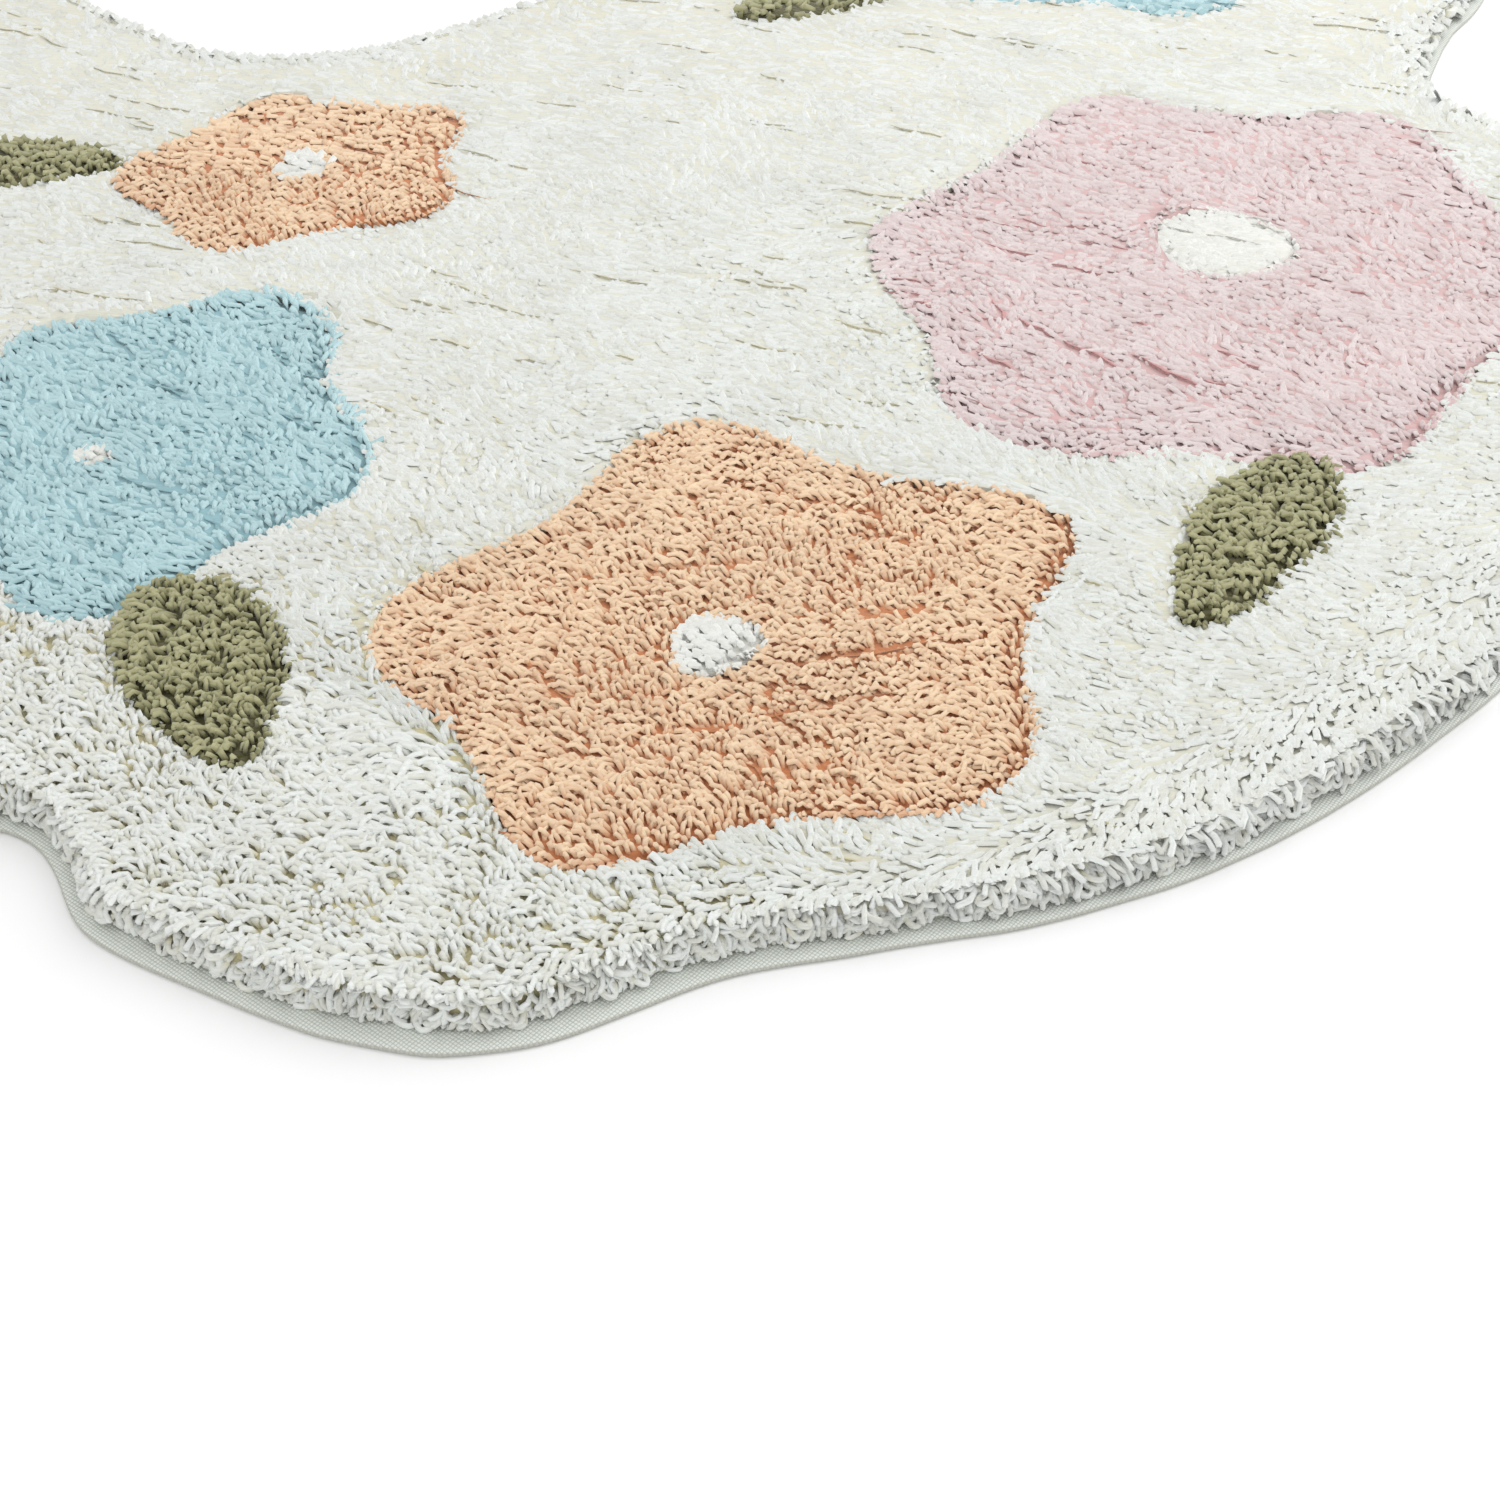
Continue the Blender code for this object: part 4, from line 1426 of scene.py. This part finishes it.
def rim_bed():
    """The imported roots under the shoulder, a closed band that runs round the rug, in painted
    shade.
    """
    places, normals = pile_rim[::RIM_BED_STEP], outward(pile_rim)[::RIM_BED_STEP]
    count = len(places)
    brush = rim_brush(places)
    rings = []
    for degrees in RIM_BED:
        base, _, up = shoulder(places, normals, np.full(count, math.radians(degrees)))
        rings.append(base - up * bed_drop(brush)[:, None])
    foot = np.column_stack([rings[-1][:, :2], np.full(count, CANVAS_TOP)])
    heel = np.column_stack([rings[0][:, :2], np.full(count, CANVAS_TOP)])
    points = np.concatenate(rings + [foot, heel])
    here = np.arange(count)
    there = (here + 1) % count
    lanes = len(rings) + 2
    triangles = []
    for k in range(lanes):
        inner, outer = k * count, (k + 1) % lanes * count
        triangles.append(np.stack([inner + here, outer + here, outer + there], axis=1))
        triangles.append(np.stack([inner + here, outer + there, inner + there], axis=1))
    triangles = np.concatenate(triangles)
    return {
        "points": points,
        "normal": surface_normals(points, triangles),
        "triangles": triangles,
        "quads": np.zeros((0, 4), int),
        # the root colour and the darker bed tone: painted shade
        "depth": np.tile(BED_DEPTH * brush, lanes),
        "tone": np.tile(BED_PAINTED_SHADE * (1 - brush), lanes),
    }


# %% [markdown]
# Bed, rows and loops together are one piece.

# %% Lay the rim
rim_parts = [rim_bed()]
for index, degrees in enumerate(RIM_ROWS):
    rim_parts += shoulder_row(degrees, 700 + index * 10)
rim_parts += [uncut_loops(*row) for row in LOOPS]
rim_yarn = join_parts(rim_parts)
put_in_place(make_piece("rim_yarn", rim_yarn, yarn["cream"]), "cream_pile")
total_faces += face_count(rim_yarn)
print("rim triangles:", face_count(rim_yarn), "all so far:", total_faces)

# %% [markdown]
# ## Canvas
#
# The backing is a plain-woven cotton canvas, cut to the outline with its edge turned and glued.
# Only a band of a few millimetres shows. It is built as rings that follow the outline: flat
# below, a soft turned edge, flat on top, and closed by a fill that nobody sees.

# %% Canvas sheet
CANVAS_PROFILE = (
    # inside the outline, height
    (0.0200, 0.0000),
    (0.0009, 0.0000),
    (0.0002, 0.0004),
    (0.0000, 0.0010),
    (0.0002, 0.0016),
    (0.0009, 0.0020),
    (0.0040, 0.0020),
    (0.0200, 0.0020),
)
THREAD = 0.00135              # drawn 1.8 times as coarse as the real thread, so that it shows


def canvas_sheet(finish):
    """The canvas, built as rings that follow its outline and closed by two fills."""
    line = stray(smooth_loop(underside_outline("canvas_backing"), 0.0055))
    facing = outward(line)
    ripple = 0.0004 * drift(line[:, 0], line[:, 1], 0.02, 901)[:, None]
    count = len(line)
    rings = [
        np.column_stack([line + facing * (ripple - inset), np.full(count, height)])
        for inset, height in CANVAS_PROFILE
    ]
    mesh = bpy.data.meshes.new("canvas_sheet")
    here = np.arange(count)
    there = (here + 1) % count
    faces = []
    for k in range(len(rings) - 1):
        low, high = k * count, (k + 1) * count
        faces += np.stack([low + here, low + there, high + there, high + here], axis=1).tolist()
    mesh.from_pydata(np.concatenate(rings).tolist(), [], faces)
    work = bmesh.new()
    work.from_mesh(mesh)
    for height in (0.0, CANVAS_PROFILE[-1][1]):
        open_edges = [edge for edge in work.edges
                      if edge.is_boundary and abs(edge.verts[0].co.z - height) < 1e-5]
        bmesh.ops.triangle_fill(work, edges=open_edges, use_beauty=True)
    bmesh.ops.recalc_face_normals(work, faces=work.faces)
    work.to_mesh(mesh)
    work.free()
    # painted shade: the rings below the top of the turned edge get a low number, for a darker
    # colour
    shown = np.array([0.3 if height < 0.0018 else 1.0 for _, height in CANVAS_PROFILE])
    attribute = mesh.attributes.new("depth", "FLOAT", "POINT")
    attribute.data.foreach_set("value", np.repeat(shown, count).astype(np.float32))
    mesh.shade_smooth()
    return show("canvas_sheet", mesh, finish)


def woven_canvas():
    """Undyed plain-woven cotton: pale threads, with painted shade where two part and on the turned
    edge.
    """
    made, tree, shader = matt_finish("woven_cotton_canvas", 0.9)
    spot = add_node(tree, "ShaderNodeNewGeometry")
    laid = add_node(tree, "ShaderNodeMapping", None,
                    {"Rotation": (0, 0, math.radians(37)), "Scale": (1 / THREAD,) * 3},
                    {"Vector": spot.outputs["Position"]})
    unrest = add_node(tree, "ShaderNodeTexNoise", None, {"Scale": 1 / 0.004, "Detail": 1.0},
                      {"Vector": spot.outputs["Position"]})
    axes = add_node(tree, "ShaderNodeSeparateXYZ", None, None, {"Vector": laid.outputs["Vector"]})
    crowns = []
    for axis in ("X", "Y"):
        bent = maths(tree, "MULTIPLY_ADD", unrest.outputs["Fac"], 0.5, axes.outputs[axis])
        wave = maths(tree, "SINE", maths(tree, "MULTIPLY", bent, math.pi))
        crowns.append(maths(tree, "ABSOLUTE", wave))
    relief = maths(tree, "MULTIPLY", *crowns)
    # painted shade in the gaps where the threads part
    cover = add_node(tree, "ShaderNodeMapRange", None, {"From Min": 0.0, "From Max": 0.65},
                     {"Value": relief})
    cloth = add_node(tree, "ShaderNodeMix", {"data_type": "RGBA"},
                     {"A": linear("#C0C4BA"), "B": linear("#EAEEE9")},
                     {"Factor": cover.outputs["Result"]})
    # painted shade on the lower, turned part of the edge
    edge = add_node(tree, "ShaderNodeAttribute", {"attribute_name": "depth"})
    shaded_turned_edge = add_node(tree, "ShaderNodeMix", {"data_type": "RGBA"}, {"A": linear("#A9A89C")},
                           {"Factor": edge.outputs["Fac"], "B": cloth.outputs["Result"]})
    woven = add_node(tree, "ShaderNodeBump", None, {"Strength": 0.6, "Distance": 0.0003},
                     {"Height": relief})
    tree.links.new(shaded_turned_edge.outputs["Result"], shader.inputs["Base Color"])
    tree.links.new(woven.outputs["Normal"], shader.inputs["Normal"])
    return made


canvas = canvas_sheet(woven_canvas())
put_in_place(canvas, "canvas_backing")
print("canvas triangles:", sum(len(f.vertices) - 2 for f in canvas.data.polygons))

# %% [markdown]
# ## Floor and light
#
# The photograph was taken in a white studio: the floor is so bright that it melts into the
# background, and the shadows are faint. A large matt white plane, an even white sky and one soft
# lamp from behind on the right give the same light. The lamp is what makes the flanks of the
# pile a little darker than its top, so that single ends can be told apart. The colours go to the
# screen as they are, without a film look, because the photograph's whites are plain too.

# %% Floor
FLOOR_REACH = 6.0             # half the width of the floor
FLOOR_LEVEL = -0.0002         # just below the canvas, so that the two don't flicker

floor_mesh = bpy.data.meshes.new("floor")
corners = [(x * FLOOR_REACH, y * FLOOR_REACH, FLOOR_LEVEL)
           for x, y in ((-1, -1), (1, -1), (1, 1), (-1, 1))]
floor_mesh.from_pydata(corners, [], [(0, 1, 2, 3)])
pale, _, shader = matt_finish("matt_white_floor", 0.9)
shader.inputs["Base Color"].default_value = (0.95, 0.95, 0.95, 1)
floor = show("floor", floor_mesh, pale)
print("floor", 2 * FLOOR_REACH, "m wide, at z =", FLOOR_LEVEL)

# %% Sky and lamp
SKY = 0.93                    # strength of the even white sky
LAMP_WATTS = 18
LAMP_SIDE = 1.6               # width and height of the soft lamp in metres
LAMP_PLACE = (1.6, 0.6, 1.7)  # behind the rug on the right
LAMP_AIM = Vector((0.3, -0.4, 0))

world = bpy.data.worlds.new("studio")
world.use_nodes = True
sky = world.node_tree.nodes["Background"]
sky.inputs["Color"].default_value = (1, 1, 1, 1)
sky.inputs["Strength"].default_value = SKY
bpy.context.scene.world = world
softbox = bpy.data.lights.new("softbox", "AREA")
softbox.shape = "RECTANGLE"
softbox.size = LAMP_SIDE
softbox.size_y = LAMP_SIDE
softbox.energy = LAMP_WATTS
box = bpy.data.objects.new("softbox", softbox)
box.location = LAMP_PLACE
box.rotation_euler = (LAMP_AIM - box.location).to_track_quat("-Z", "Y").to_euler()
bpy.context.scene.collection.objects.link(box)
bpy.context.scene.view_settings.view_transform = "Standard"
print("lamp of", LAMP_WATTS, "W at", LAMP_PLACE)

# %% [markdown]
# ## The size of the canvas
#
# The canvas is the rug's only sheet. Cut flat it has the area inside its outline, and its width
# and length are those of the outline's box. It lies on the floor.

low, high = canvas_edge.min(axis=0), canvas_edge.max(axis=0)
flat_area(canvas_edge)
print("sheet:", (high - low).round(3), "m, area", round(flat_area(canvas_edge), 3), "m2")
